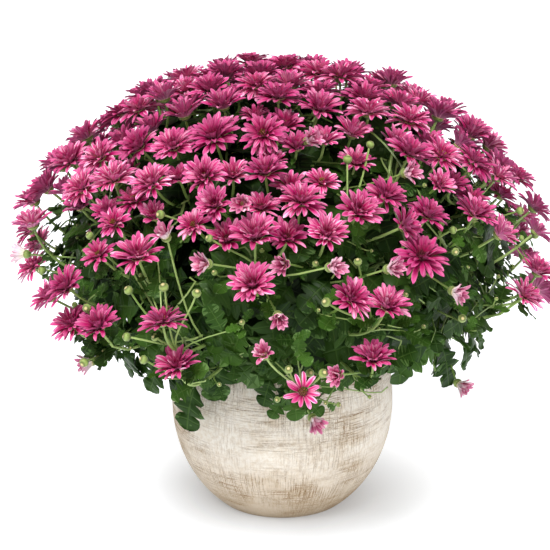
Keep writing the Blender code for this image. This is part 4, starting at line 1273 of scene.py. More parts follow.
FLORET_ROWS = (0.0, 0.22, 0.48, 0.74, 0.92, 1.0)
INNER_ROWS = (0.0, 0.42, 0.84, 1.0)
FLORET_COLUMNS = (-1.0, 0.0, 1.0)
FLORET_THICKNESS = 0.0005
TONE_SPREAD = 0.38

# How much florets differ: in length and width, in the degrees of their lift, bend and roll, in the swing of
# their tips sideways in radians, and the point of a tip as a share of the length
FLORET_LENGTHS = (0.80, 1.03)
FLORET_WIDTHS = (0.9, 1.1)
FLORET_LIFT = 9
FLORET_BEND = 14
FLORET_ROLL = 30
FLORET_SWING = 0.14
LEAST_BEND = 0.02
TIP_POINT = 0.05

# How much heads differ: degrees that their florets close, and their tone. Crowded florets stand up more.
CLOSINGS = (-8, 34)
DAISY_CLOSINGS = (0, 14)
HEAD_TONES = (0.15, 0.85)
WHORL_SWING = 0.25
CROWDED_LIFT = 55
INNER_CLOSES = 0.4

# Neighbouring heads: how nearly a floret has to point at one, how far they overlap, and the shortest floret
POINTS_AT = 0.2
HEAD_OVERLAP = 0.25
SHORTEST_FLORET = 0.55

# Heads below this height are plain daisies with an open disc, as in the photograph
DAISIES_BELOW = 0.212

# Disc and cup; profiles are (radius, height) as shares of the head's radius
DISC_FLORETS = 22
DISC_SHARE = 0.20
DISC_FLORET_SIZE = 0.044
DISC_PROFILE = ((0.0, 0.13), (0.10, 0.12), (0.19, 0.06), (0.17, -0.06), (0.0, -0.08))
DISC_SIDES = 10
DISC_TOP = 0.14
DISC_FALL = 0.07
KNOB_LENGTH = 2.6
KNOB_LEAN = 1.12
CUP_PROFILE = ((0.0, -0.02), (0.24, -0.01), (0.25, -0.06), (0.18, -0.14), (0.08, -0.20), (0.0, -0.20))
CUP_SIDES = 12
CUP_SCALES = 6
CUP_RELIEF = 0.08
CUP_ROWS = 3

# Buds and the cups of half-open flowers; profiles are shares of the bud's radius
BUD_SHARE = 0.88
BUD_PROFILE = ((0, 1.9), (0.22, 1.88), (0.55, 1.75), (0.88, 1.42), (1, 1), (0.86, 0.48), (0.5, 0.12), (0, 0))
HALF_OPEN_PROFILE = ((0, 0.80), (0.36, 0.80), (0.50, 0.68), (0.50, 0.45), (0.38, 0.18), (0.18, 0.02), (0, 0))
BUD_SIDES = 14
BUD_SCALES = 7
BUD_RELIEF = 0.06
BUD_WHORL_SWING = 0.1


@dataclass
class Whorl:
    """A layer of ray florets; lengths are shares of the head's radius and angles are in degrees."""

    count: int
    start: float
    level: float
    length: float
    width: float
    lift: float
    tip_lift: float
    cup: float
    inner: float
    rows: tuple


WHORLS = (
    Whorl(19, 0.14, -0.07, 0.85, 0.101, 20, -14, 0.35, 0.0, FLORET_ROWS),
    Whorl(16, 0.12, -0.02, 0.80, 0.096, 40, 10, 0.45, 0.10, FLORET_ROWS),
    Whorl(12, 0.11, 0.02, 0.63, 0.087, 58, 34, 0.55, 0.40, INNER_ROWS),
    Whorl(9, 0.10, 0.04, 0.40, 0.066, 76, 55, 0.6, 1.0, INNER_ROWS),
)
DAISY_WHORL = Whorl(12, 0.14, -0.04, 0.85, 0.128, 26, -4, 0.35, 0.0, FLORET_ROWS)
GAP_WHORLS = (
    Whorl(15, 0.14, -0.05, 0.85, 0.113, 30, 2, 0.4, 0.0, FLORET_ROWS),
    Whorl(12, 0.12, 0.0, 0.73, 0.104, 52, 26, 0.5, 0.3, INNER_ROWS),
    Whorl(9, 0.11, 0.03, 0.52, 0.084, 72, 45, 0.6, 0.8, INNER_ROWS),
)
HALF_OPEN_WHORLS = (
    Whorl(11, 0.30, 0.55, 1.75, 0.27, 74, 50, 0.5, 0.1, FLORET_ROWS),
    Whorl(8, 0.16, 0.60, 1.55, 0.24, 84, 66, 0.5, 0.6, INNER_ROWS),
)


def floret_width(share):
    """Half width of a floret along it, as a share of its greatest: narrow at its root, with a round tip."""
    root = 0.34 + 0.66 * np.clip(share / 0.62, 0, 1) ** 0.8
    tip = np.clip((share - 0.55) / 0.48, 0, 1)
    return root * (1 - tip**3.1) ** 0.5


def whorl_turns(whorl, order, swing, rng):
    """Angles of a whorl's florets, each between two of the whorl before and a little off its place."""
    places = np.arange(whorl.count) + 0.5 * order + rng.uniform(-swing, swing, whorl.count)
    return 2 * math.pi * places / whorl.count


def florets(whorl, radius, turns, scales, lifts, tone, rng):
    """A whorl's florets in the head's own space, with its face along +Z: points, faces, sides and marks."""
    count = whorl.count
    along, across = np.meshgrid(np.array(whorl.rows), np.array(FLORET_COLUMNS), indexing="ij")
    length = radius * whorl.length * scales[:, None, None] * spread(rng, *FLORET_LENGTHS, count)
    start = np.radians(whorl.lift + lifts[:, None, None] + spread(rng, -FLORET_LIFT, FLORET_LIFT, count))
    bend = np.radians(whorl.tip_lift - whorl.lift + spread(rng, -FLORET_BEND, FLORET_BEND, count))
    bend = np.where(np.abs(bend) < LEAST_BEND, LEAST_BEND, bend)
    angle = start + bend * along
    out = radius * whorl.start + length * (np.sin(angle) - np.sin(start)) / bend
    level = radius * whorl.level - length * (np.cos(angle) - np.cos(start)) / bend
    width = radius * whorl.width * spread(rng, *FLORET_WIDTHS, count) * floret_width(along)
    hollow = width * whorl.cup * across**2
    roll = np.radians(spread(rng, -FLORET_ROLL, FLORET_ROLL, count)) * along
    sideways = across * width * np.cos(roll) - hollow * np.sin(roll)
    raised = across * width * np.sin(roll) + hollow * np.cos(roll)
    round_tip = length * TIP_POINT * (1 - across**2) * np.clip((along - 0.85) / 0.15, 0, 1)
    out = out - raised * np.sin(angle) + round_tip * np.cos(angle)
    level = level + raised * np.cos(angle) + round_tip * np.sin(angle)
    turn = turns[:, None, None] + spread(rng, -FLORET_SWING, FLORET_SWING, count) * along**2
    towards = np.stack((np.cos(turn), np.sin(turn), 0 * turn), axis=-1)
    beside_it = np.stack((-np.sin(turn), np.cos(turn), 0 * turn), axis=-1)
    upper = out[..., None] * towards + sideways[..., None] * beside_it
    upper[..., 2] = level
    down = FLORET_THICKNESS * np.sin(angle)[..., None] * towards
    down[..., 2] = -FLORET_THICKNESS * np.cos(angle)
    tones = np.clip(tone + rng.uniform(-TONE_SPREAD, TONE_SPREAD, count), 0, 1)
    faces, skins = blade_faces(*along.shape)
    return blade_points(upper, down), faces, skins, blade_marks(along, across, tones, whorl.inner)


def head_space(head, spin):
    """Matrix from a head's own space, with its face along +Z, to the world."""
    first = square_to(turned(head.axis.orthogonal(), head.axis, spin), head.axis)
    turn = Matrix((first, head.axis.cross(first), head.axis)).transposed()
    return Matrix.Translation(head.centre) @ turn.to_4x4()


def room_for(head, near, way):
    """Share of its length that a floret along a world direction keeps before it meets a neighbouring head."""
    share = 1.0
    for other in near:
        apart = other.centre - head.centre
        facing_it = way.dot(apart.normalized())
        if facing_it > POINTS_AT:
            plane = apart.length * head.radius / (head.radius + other.radius)
            share = min(share, (plane / facing_it + HEAD_OVERLAP * head.radius) / head.radius)
    return max(SHORTEST_FLORET, share)


def add_head(patchwork, head, near, rng):
    """A flower head: whorls of ray florets, the disc of small florets, and the green cup under it."""
    space = head_space(head, rng.uniform(0, 360))
    closing = rng.uniform(*CLOSINGS)
    opened = rng.uniform(0, 1)
    shade = rng.uniform(*HEAD_TONES)
    whorls = GAP_WHORLS if head.radius < GAP_RADII[1] else WHORLS
    if head.centre.z < DAISIES_BELOW:
        whorls, opened, closing = [DAISY_WHORL], 1.0, rng.uniform(*DAISY_CLOSINGS)
    for order, whorl in enumerate(whorls):
        turns = whorl_turns(whorl, order, WHORL_SWING, rng)
        ways = [space.to_3x3() @ Vector((math.cos(turn), math.sin(turn), 0)) for turn in turns]
        scales = np.array([room_for(head, near, way) for way in ways])
        lifts = (1 - scales) * CROWDED_LIFT + closing * (1 - INNER_CLOSES * whorl.inner)
        points, faces, skins, marks = florets(whorl, head.radius, turns, scales, lifts, shade, rng)
        patchwork.add(to_world(points, space), faces, skins, marks)
    add_disc(patchwork, head, space, opened, rng)
    add_cup(patchwork, space, head.radius, rng)


def add_disc(patchwork, head, space, opened, rng):
    """The disc: a low dome under small pointed florets in a spiral."""
    index = np.arange(DISC_FLORETS)
    reach = head.radius * DISC_SHARE * np.sqrt((index + 0.5) / DISC_FLORETS)
    turn = index * GOLDEN_ANGLE
    level = head.radius * (DISC_TOP - DISC_FALL * (index / DISC_FLORETS) ** 1.5)
    foot = np.stack((reach * np.cos(turn), reach * np.sin(turn), level), axis=-1)
    size = head.radius * DISC_FLORET_SIZE * rng.uniform(0.85, 1.15, DISC_FLORETS)
    ends = ((0, 0, KNOB_LENGTH), (0, 0, -KNOB_LENGTH))
    corners = np.array(((1, 0, 0), (0, 1, 0), (-1, 0, 0), (0, -1, 0), *ends))
    knobs = foot[:, None, :] + corners[None] * size[:, None, None]
    knobs[:, 4, :2] *= KNOB_LEAN
    faces = np.array([(i, (i + 1) % 4, 4) for i in range(4)] + [((i + 1) % 4, i, 5) for i in range(4)])
    marks = np.zeros((DISC_FLORETS, 6, 4))
    marks[:, 4, 0] = 1.0
    marks[..., 2] = opened
    patchwork.add(to_world(knobs, space), faces, DISC_SKIN, marks)
    add_turned(patchwork, space, DISC_PROFILE, head.radius, DISC_SIDES, DISC_SKIN)


def add_cup(patchwork, space, radius, rng):
    """The green cup of bracts that holds a head's florets."""
    phase = rng.uniform(0, 6)

    def scales(turns, row):
        return CUP_RELIEF * np.cos(CUP_SCALES * turns + phase + 3 * (row % 2)) * (row < CUP_ROWS)

    add_turned(patchwork, space, CUP_PROFILE, radius, CUP_SIDES, BRACT_SKIN, scales)


def add_bud(patchwork, bud, rng):
    """A round bud with its scales, or a half-open flower whose florets still stand together."""
    turn = bud.axis.to_track_quat("Z", "Y").to_matrix().to_4x4()
    space = Matrix.Translation(bud.seat) @ turn
    size = bud.radius if bud.half_open else BUD_SHARE * bud.radius
    phase = rng.uniform(0, 6)

    def scales(turns, row):
        return BUD_RELIEF * np.cos(BUD_SCALES * turns + phase + math.pi * (row % 2))

    profile = HALF_OPEN_PROFILE if bud.half_open else BUD_PROFILE
    add_turned(patchwork, space, profile, size, BUD_SIDES, BRACT_SKIN, scales)
    for order, whorl in enumerate(HALF_OPEN_WHORLS if bud.half_open else ()):
        turns = whorl_turns(whorl, order, BUD_WHORL_SWING, rng)
        full, upright = np.ones(whorl.count), np.zeros(whorl.count)
        points, faces, skins, marks = florets(whorl, size, turns, full, upright, 0.5, rng)
        patchwork.add(to_world(points, space), faces, skins + YOUNG_SKIN, marks)


def bloom_pieces(clusters, heads, surfaces, rng):
    """One piece for each cluster of heads, in place of the node that is numbered in the same order."""
    counts = {}
    for kind, _, cluster in clusters:
        counts[kind] = counts.get(kind, 0) + 1
        name = f"blooms_{kind}_{counts[kind]:02d}"
        flowers = Patchwork()
        for head in cluster:
            near = [other for other in heads if 0 < (other.centre - head.centre).length < NEAR_HEADS]
            add_head(flowers, head, near, rng)
        made = flowers.piece(name.replace("blooms", "flowers"), surfaces)
        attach(made, "root")
        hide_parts(name)


# Leaves

LEAF_ROWS = (
    0.0, 0.08, 0.12, 0.17, 0.22, 0.28, 0.33, 0.36, 0.39, 0.44,
    0.50, 0.56, 0.61, 0.64, 0.67, 0.73, 0.81, 0.90, 0.96, 1.0,
)
COARSE_ROWS = (0.0, 0.12, 0.20, 0.30, 0.36, 0.45, 0.56, 0.63, 0.72, 0.84, 0.95, 1.0)
TINY_ROWS = (0.0, 0.12, 0.27, 0.36, 0.50, 0.64, 0.80, 1.0)
LEAF_COLUMNS = (-1.0, -0.55, 0.0, 0.55, 1.0)
COARSE_COLUMNS = (-1.0, 0.0, 1.0)
SWEEP = 0.34
LEAF_THIN = 0.0006
BRACT_WIDTH = 0.5
LEAF_ENVELOPE = ((0, 0.08, 0.13, 0.22, 0.50, 0.78, 1.0), (0.012, 0.02, 0.17, 0.31, 0.40, 0.30, 0.24))
EDGE_WAVE = 0.045
LOBE_WAVE = 0.030
EDGE_WAVES = 9
EDGE_DROOP = 0.55
LEAF_PITCH = 0.94

# How much leaves differ: the sideways sway of the tip, and the fold, droop and width as shares of their own
LEAF_SWAY = 0.10
LEAF_FOLDS = (0.5, 1.6)
LEAF_DROOPS = (0.7, 1.35)
LEAF_WIDTHS = (0.92, 1.12)

PETIOLE_RADIUS = 0.0009
SHORTEST_PETIOLE = 0.002
PETIOLE_END = 0.02
PETIOLE_POINTS = 5
FIRST_LOBE = 0.22
LOBE_SPACING = 0.28
SINUS_WIDTH = 0.42
TOOTH = 0.05

# Small leaves on stems: the chance of one at each point, and the lengths at the tip and the root of the stem
BRANCH_LEAVES = (0.75, (0.012, 0.042))
STALK_LEAVES = (0.4, (0.009, 0.028))
BUD_STALK_LEAVES = (0.35, (0.007, 0.016))
TWIG_LEAVES = (0.75, TWIG_LEAF_LENGTHS)

# How far a small leaf leans along its stem and hangs, and how much such leaves differ in size
LEAF_LEAN = 0.6
LEAF_HANG = 0.15
LEAF_SIZES = (0.75, 1.2)

# Where stalks leave a branch, as a share of its points, in steps for the heads of a cluster
STALK_FORK = 0.45
FORK_STEP = 0.11
FORK_STEPS = 4

BRANCH_POINTS = 24
STALK_POINTS = 10
BUD_STALK_POINTS = 8
LEADER_POINTS = 10
BARE_POINTS = 7
TWIG_POINTS = 6
TWIG_SLANTS = (0.6, 1.1)
TWIG_RISE = 0.25
TWIG_BUD_RISE = 0.5
SHOOT_POINTS = 7

# Where a young stem's colour starts and ends on the way from old to young
YOUNG_GREEN = (0.6, 1.0)


def leaf_half_width(share):
    """Half width of a leaf along it, as a share of its length: round toothed lobes and narrow sinuses."""
    envelope = np.interp(share, *LEAF_ENVELOPE)
    turn = math.pi * (share - FIRST_LOBE) / LOBE_SPACING
    lobes = SINUS_WIDTH + (1 - SINUS_WIDTH) * np.abs(np.cos(turn)) ** 0.55
    lobes = np.where(share < 0.13, 1, lobes)
    teeth = 1 - TOOTH + TOOTH * np.cos(6 * turn)
    closing = np.sqrt(np.clip(1 - ((share - 0.80) / 0.205) ** 2, 0, 1))
    return envelope * teeth * np.where(share > 0.80, closing, lobes)


def leaf_blades(leaves, rows, rng, width=1.0, inner=0.0):
    """Points, faces, sides and marks for a list of leaves."""
    columns = LEAF_COLUMNS if rows is LEAF_ROWS else COARSE_COLUMNS
    along, across = np.meshgrid(np.array(rows), np.array(columns), indexing="ij")
    half = width * leaf_half_width(along)
    count = len(leaves)
    length, root, way, up = [
        np.array([getattr(leaf, name) for leaf in leaves]).reshape(count, 1, 1, -1)
        for name in ("length", "root", "along", "up")
    ]
    side = np.cross(up, way)
    sway = spread(rng, -LEAF_SWAY, LEAF_SWAY, count)
    fold = spread(rng, *LEAF_FOLDS, count)
    droop = spread(rng, *LEAF_DROOPS, count)
    phase = spread(rng, 0, 6, count)
    wide = half * spread(rng, *LEAF_WIDTHS, count)
    forward = along * LEAF_PITCH + SWEEP * np.abs(across) * half * (1 - along)
    over = across * wide + sway * along**2
    level = LEAF_FOLD * fold * np.abs(across * wide) - LEAF_DROOP * droop * forward**2
    level = level - EDGE_DROOP * (across * wide) ** 2
    level = level + EDGE_WAVE * np.sin(EDGE_WAVES * along + phase + 2 * across) * np.abs(across)
    level = level + LOBE_WAVE * np.cos(2 * math.pi * (along - FIRST_LOBE) / LOBE_SPACING) * np.abs(across)
    upper = root + length * (forward[..., None] * way + over[..., None] * side + level[..., None] * up)
    faces, skins = blade_faces(len(rows), len(columns))
    marks = blade_marks(along, across, rng.uniform(0, 1, count), inner)
    return blade_points(upper, -LEAF_THIN * up), faces, skins, marks


def petiole(patchwork, leaf, sources, rng):
    """A leaf's stalk, from the nearest stem of its plant to the leaf's root."""
    root = np.array(leaf.root)
    nearest = Vector(sources[np.linalg.norm(sources - root, axis=1).argmin()])
    span = (leaf.root - nearest).length
    if span > SHORTEST_PETIOLE:
        handle = nearest + (leaf.root - nearest) * 0.3 + UP * (0.1 * span)
        bends = nearest, handle, leaf.root - leaf.along * min(0.5 * span, PETIOLE_END), leaf.root
        points = curve(bends, PETIOLE_POINTS)
        tube(patchwork, points, [PETIOLE_RADIUS] * PETIOLE_POINTS, 3, rng.uniform(0, 1), (0.2, 0.6))


def stalk_line(line, root, end, axis, rows):
    """Points of a stalk that leaves a branch's line near a root, along the branch, and ends along an axis."""
    apart = [(place - root).length for place in line[:-4]]
    index = max(1, apart.index(min(apart)))
    while index > 2 and line[index].z > end.z - 0.5 * (end - line[index]).length:
        index -= 1
    start = line[index]
    way = ((line[index + 1] - line[index - 1]).normalized() + UP * 0.7).normalized()
    span = (end - start).length
    return curve((start, start + way * 0.35 * span, end - axis * 0.4 * span, end), rows)


def small_leaves(points, chance, lengths, rng):
    """Small leaves that stand off a stem here and there, each on its own side."""
    leaves = []
    for index in range(1, len(points) - 1):
        if rng.uniform(0, 1) > chance:
            continue
        way = (points[index + 1] - points[index - 1]).normalized()
        along = (way * LEAF_LEAN + beside(way, rng.uniform(0, 360)) - UP * LEAF_HANG).normalized()
        length = between(lengths, 1 - index / len(points)) * rng.uniform(*LEAF_SIZES)
        leaves.append(Leaf(points[index], along, square_to(way, along), length))
    return leaves


def add_twigs(greenery, line, space, rng):
    """Side twigs of a branch, each with small leaves and a young bud at its end."""
    leaves = []
    for order in range(TWIGS_ON_A_BRANCH):
        index = int(len(line) * (TWIG_SHARES[0] + TWIG_SHARES[1] * order / TWIGS_ON_A_BRANCH))
        way = (line[index + 1] - line[index - 1]).normalized()
        side = beside(way, math.degrees(order * GOLDEN_ANGLE) + rng.uniform(0, 90))
        slant = (way + side * rng.uniform(*TWIG_SLANTS) + UP * TWIG_RISE).normalized()
        start = line[index]
        length = rng.uniform(*TWIG_LENGTHS)
        bud = Bud(start + slant * length, slant, rng.uniform(*TWIG_BUD_RADII), False)
        around = bud_samples(bud)
        beyond = math.hypot(bud.seat.x, bud.seat.y) > dome_radius(bud.seat.z) or bud.seat.z < POT_HEIGHT
        if beyond or space.hides_a_head(around) or not space.free_of_heads(around, 0.001):
            continue
        bud.axis = (slant + UP * TWIG_BUD_RISE).normalized()
        handles = start + way * 0.4 * length, bud.seat - bud.axis * 0.3 * length
        points = curve((start, *handles, bud.seat), TWIG_POINTS)
        tube(greenery, points, [TWIG_RADIUS] * TWIG_POINTS, 5, rng.uniform(0, 1), YOUNG_GREEN)
        add_bud(greenery, bud, rng)
        leaves += small_leaves(points, *TWIG_LEAVES, rng)
    return leaves


def shoot_bud(plant, index, rng):
    """The bud at the end of a plant's shoot, spread by the golden angle up the flanks, or none."""
    height = between(SHOOT_HEIGHTS, (index + 0.5) / SHOOTS)
    azimuth = golden(index) + rng.uniform(-FOLIAGE_SWING, FOLIAGE_SWING)
    place = outwards(azimuth) * dome_radius(height) * rng.uniform(*SHOOT_SHARES) + UP * height
    sparse = SPARSE_AZIMUTHS[0] < azimuth < SPARSE_AZIMUTHS[1] and index % 5 < 3
    if sparse or plant_of(place) != plant.index:
        return None
    slant = facing(azimuth + rng.uniform(-SHOOT_SWING, SHOOT_SWING), rng.uniform(*SHOOT_RISES))
    return Bud(place, slant, rng.uniform(*TWIG_BUD_RADII), False)


def shoot_leaves(bends, slant, index, space, rng):
    """The leaves along a shoot, each on its own side, where they hide no head."""
    leaves = []
    for order in range(SHOOT_LEAVES):
        share = 1 - order / (SHOOT_LEAVES + 1)
        side = beside(slant, math.degrees(order * GOLDEN_ANGLE + index))
        along = (slant * rng.uniform(*SHOOT_LEAF_SLANTS) + side).normalized()
        up = square_to(slant + UP * SHOOT_LEAF_RISE, along)
        length = between(SHOOT_LEAF_LENGTHS, (1 - share) * SHOOT_LEAF_GROWTH) * rng.uniform(*SHOOT_LEAF_SIZES)
        leaf = Leaf(bezier(*bends, share), along, up, length)
        spots = leaf_samples(leaf)
        clear = above_edge(spots) and not space.hides_a_head(spots)
        if clear and space.free_of_heads(spots, NEAR_HEAD):
            leaves.append(leaf)
    return leaves


def add_shoots(greenery, plant, sources, space, rng):
    """Young shoots from the plant's branches out to the flanks. Gives back their leaves."""
    leaves = []
    for index in range(SHOOTS):
        bud = shoot_bud(plant, index, rng)
        if bud is None:
            continue
        place, slant = bud.seat, bud.axis
        below = sources[sources[:, 2] < place.z + 0.004]
        away = np.linalg.norm(below - np.array(place), axis=1)
        far = away.min()
        if not SHOOT_REACH[0] < far < SHOOT_REACH[1] or not space.free_of_heads(bud_samples(bud), 0.001):
            continue
        start = Vector(below[away.argmin()])
        bends = start, start.lerp(place, 0.4) + UP * (0.12 * far), place - slant * 0.35 * far, place
        points = curve(bends, SHOOT_POINTS)
        tube(greenery, points, [TWIG_RADIUS] * SHOOT_POINTS, 3, rng.uniform(0, 1), YOUNG_GREEN)
        if index % 2:
            add_bud(greenery, bud, rng)
        leaves += shoot_leaves(bends, slant, index, space, rng)
    return leaves


def add_branches(greenery, plant, lines, space, rng):
    """The plant's branches, with twigs on the lower ones. Gives back the small leaves on them."""
    leaves = []
    for branch in plant.branches:
        line = lines[branch.head]
        radii = np.linspace(BRANCH_RADIUS, TIP_RADIUS, BRANCH_POINTS)
        tube(greenery, line, radii, 7, rng.uniform(0, 1), (0.2, 1.0))
        leaves += small_leaves(line[BARE_POINTS:], *BRANCH_LEAVES, rng)
        if branch.head.centre.z < TWIGGY_BELOW:
            leaves += add_twigs(greenery, line, space, rng)
    return leaves


def add_flower_stalks(greenery, plant, clusters, lines, rng):
    """A stalk to each other head of a cluster, from the cluster's branch. Gives back the leaves on them."""
    leaves = []
    radii = np.linspace(STALK_RADIUS, 1.1 * TIP_RADIUS, STALK_POINTS)
    for cluster in [cluster for _, owner, cluster in clusters if owner == plant.index]:
        carrier = next(head for head in cluster if head in lines)
        line = lines[carrier]
        for order, head in enumerate(cluster):
            if head is carrier:
                continue
            root = line[int(BRANCH_POINTS * (STALK_FORK + FORK_STEP * (order % FORK_STEPS)))]
            points = stalk_line(line, root, head.seat(), head.axis, STALK_POINTS)
            tube(greenery, points, radii, 6, rng.uniform(0, 1), (0.4, 1.0))
            leaves += small_leaves(points, *STALK_LEAVES, rng)
    return leaves


def add_bud_stalks(greenery, plant, lines, rng):
    """A stalk to each bud and half-open flower, from the nearest branch. Gives back the leaves on them."""
    leaves = []
    for stalk in plant.stalks:
        if stalk.head:
            continue
        start, tip = stalk.points[0], stalk.points[-1]
        line = min(lines.values(), key=lambda places: min((place - start).length for place in places))
        rising = ((tip - start).normalized() + UP * 0.5).normalized()
        points = stalk_line(line, start, tip, rising, BUD_STALK_POINTS)
        radii = [BUD_STALK_RADIUS] * BUD_STALK_POINTS
        tube(greenery, points, radii, 5, rng.uniform(0, 1), YOUNG_GREEN)
        leaves += small_leaves(points[2:], *BUD_STALK_LEAVES, rng)
    return leaves


def plant_piece(plant, clusters, surfaces, space, rng):
    """A plant's stems, leaves, buds and half-open flowers."""
    greenery = Patchwork()
    leader = curve_through(plant.leader.points, LEADER_POINTS)
    tube(greenery, leader, [STEM_RADIUS] * LEADER_POINTS, 10, 0.2, (0.0, 0.3))
    lines = {
        branch.head: curve(branch_bends(branch.head, branch.points[0]), BRANCH_POINTS)
        for branch in plant.branches
    }
    stem_leaves = add_branches(greenery, plant, lines, space, rng)
    stem_leaves += add_flower_stalks(greenery, plant, clusters, lines, rng)
    stem_leaves += add_bud_stalks(greenery, plant, lines, rng)
    sources = [place for line in lines.values() for place in line] + leader
    sources = np.array([tuple(place) for place in sources])
    young_leaves = add_shoots(greenery, plant, sources, space, rng)
    for leaf in plant.leaves + plant.inner_leaves:
        petiole(greenery, leaf, sources, rng)
    # Painted shade: outer leaves high under the heads are marked darker with height, and the inner leaves
    # fully.
    heights = np.array([leaf.root.z for leaf in plant.leaves])
    shade = PAINTED_SHADE * np.clip((heights - PAINTED_SHADE_START) / PAINTED_SHADE_RISE, 0, 1)
    greenery.add(*leaf_blades(plant.leaves, LEAF_ROWS, rng, 1.0, shade[:, None, None]))
    greenery.add(*leaf_blades(plant.inner_leaves, COARSE_ROWS, rng, 1.0, 1.0))
    greenery.add(*leaf_blades(young_leaves, COARSE_ROWS, rng))
    half = len(stem_leaves) // 2
    greenery.add(*leaf_blades(stem_leaves[:half], TINY_ROWS, rng))
    greenery.add(*leaf_blades(stem_leaves[half:], TINY_ROWS, rng, BRACT_WIDTH))
    for bud in plant.buds:
        add_bud(greenery, bud, rng)
    made = greenery.piece(plant.name + "_greenery", surfaces)
    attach(made, "root")
    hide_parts(plant.name)


# Pot and soil


def pot_piece(surface):
    """The bowl, turned fine, with its rounded rim and its inside down to the floor."""
    top = POT_HEIGHT - RIM_ROUNDING
    outer = [(pot_radius(height), height) for height in np.linspace(0.0, top, POT_ROWS)]
    rim = []
    for step in range(1, ROUNDING_STEPS):
        angle = math.pi * step / ROUNDING_STEPS
        reach = RIM_RADIUS - POT_WALL / 2 + POT_WALL / 2 * math.cos(angle)
        rim.append((reach, top + RIM_ROUNDING * math.sin(angle)))
    heights = np.linspace(top, INSIDE_BOTTOM, INSIDE_ROWS)
    inside = [(pot_radius(height) - POT_WALL, height) for height in heights]
    profile = [(0.0, 0.0), (FOOT_FLAT, 0.0), *outer, *rim, *inside, *INSIDE_CORNER, (0.0, POT_FLOOR)]
    clay = Patchwork()
    add_turned(clay, Matrix.Identity(4), profile[::-1], 1.0, POT_SIDES, 0)
    made = clay.piece("scraped_bowl", [surface])
    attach(made, "root")
    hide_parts("pot")


def soil_piece(surface, rng):
    """The compost: its uneven top and the side that the pot hides, with loose crumbs on it."""
    edge = pot_radius(SOIL_EDGE_HEIGHT) - POT_WALL - GAP * 2
    turns = 2 * math.pi * np.arange(SOIL_SIDES) / SOIL_SIDES
    rings = []
    for ring in range(1, SOIL_RINGS + 1):
        reach = edge * ring / SOIL_RINGS
        places = [(reach * math.cos(turn), reach * math.sin(turn)) for turn in turns]
        grit = SOIL_GRIT if ring < SOIL_RINGS else 0
        rings.append([
            (x, y, soil_height(x, y) + grit * math.sin(GRIT_WAVES[0] * x + 3) * math.cos(GRIT_WAVES[1] * y))
            for x, y in places
        ])
    foot = SOIL_TAPER * edge
    rings.append([(foot * math.cos(turn), foot * math.sin(turn), SOIL_BOTTOM) for turn in turns])
    earth = Patchwork()
    earth.add_rings(np.array(rings), [(0, 0, soil_height(0, 0)), (0, 0, SOIL_BOTTOM)], 0)
    add_crumbs(earth, edge, rng)
    made = earth.piece("compost", [surface])
    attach(made, "root")
    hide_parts("soil")


def add_crumbs(patchwork, edge, rng):
    """Loose crumbs, each a small lopsided lump sunk a little into the soil."""
    reach = (edge - CRUMB_BORDER) * np.sqrt(rng.uniform(0, 1, CRUMBS))
    turn = rng.uniform(0, 2 * math.pi, CRUMBS)
    size = rng.uniform(*CRUMB_SIZES, CRUMBS)
    x, y = reach * np.cos(turn), reach * np.sin(turn)
    level = np.array([soil_height(a, b) for a, b in zip(x, y)])
    corners = [(0, 0, 1), (0, 0, -1)]
    for start, height in ((0.0, 0.35), (0.6, -0.35)):
        turns = np.linspace(0, 2 * math.pi, CRUMB_SIDES + 1)[:-1] + start
        corners += [(math.cos(turn), math.sin(turn), height) for turn in turns]
    lump = np.array(corners)[None] * rng.uniform(*CRUMB_SHAPES, (CRUMBS, len(corners), 1))
    points = lump * size[:, None, None] + np.stack((x, y, level + CRUMB_SINK * size), axis=-1)[:, None]
    faces = []
    for i in range(CRUMB_SIDES):
        j = (i + 1) % CRUMB_SIDES
        faces += [(0, 2 + i, 2 + j), (2 + i, 7 + i, 2 + j), (7 + i, 7 + j, 2 + j), (1, 7 + j, 7 + i)]
    patchwork.add(points, np.array(faces), 0, np.zeros((CRUMBS, len(corners), 4)))


# Materials

# Scales of the pot's patterns, in repeats a metre along X, Y and Z. The comb's strokes are 0.8 mm wide and
# 24 mm long across the pot, or 16 mm up it, in patches of 20 to 70 mm. The mottle is 4 mm. The clay's grain
# would be about 0.5 mm: it is drawn at 1.6 mm so that it shows.
ACROSS_SCALES = (42.0, 42.0, 1250.0)
ACROSS_PATCHES = (18.2, 18.2, 46.8)
UPRIGHT_SCALES = (1250.0, 1250.0, 62.0)
UPRIGHT_PATCHES = (24.0, 24.0, 24.0)
WEAR_SCALES = (14.0, 14.0, 36.0)
GRAIN_SCALE = 620.0
MOTTLE_SCALE = 260.0
SCRATCH_DEPTH = 0.0006
BAND_HEIGHT = 0.042

# Compost fibres a metre, the places of a leaf's side veins along it, and how fast a floret's streaks change
# across it, along it and from one floret to the next
FIBRE_SCALE = 500.0
LEAF_VEINS = (0.25, 0.51, 0.75)
VEIN_DEPTH = 0.0008
CRUMB_DEPTH = 0.001
STREAK_SCALES = (1.3, 0.5, 40.0)


def linear(colour):
    """Linear red, green, blue and alpha of an sRGB hex colour."""
    values = [int(colour[i : i + 2], 16) / 255 for i in (1, 3, 5)]
    return (*[v / 12.92 if v <= 0.04045 else ((v + 0.055) / 1.055) ** 2.4 for v in values], 1.0)


def add(tree, kind, inputs=None, **settings):
    """Add a node: inputs are the values or links of its sockets, settings are its own properties."""
    made = tree.nodes.new("ShaderNode" + kind)
    for name, value in settings.items():
        setattr(made, name, value)
    for name, value in (inputs or {}).items():
        if isinstance(value, bpy.types.NodeSocket):
            tree.links.new(value, made.inputs[name])
        else:
            made.inputs[name].default_value = value
    return made.outputs


def new_material(name, roughness, **values):
    """A material with its Principled shader; the values are the same all over its surface."""
    made = bpy.data.materials.new(name)
    made.use_nodes = True
    shader = made.node_tree.nodes["Principled BSDF"]
    shader.inputs["Roughness"].default_value = roughness
    for socket, value in values.items():
        shader.inputs[socket.replace("_", " ")].default_value = value
    return made, made.node_tree, shader


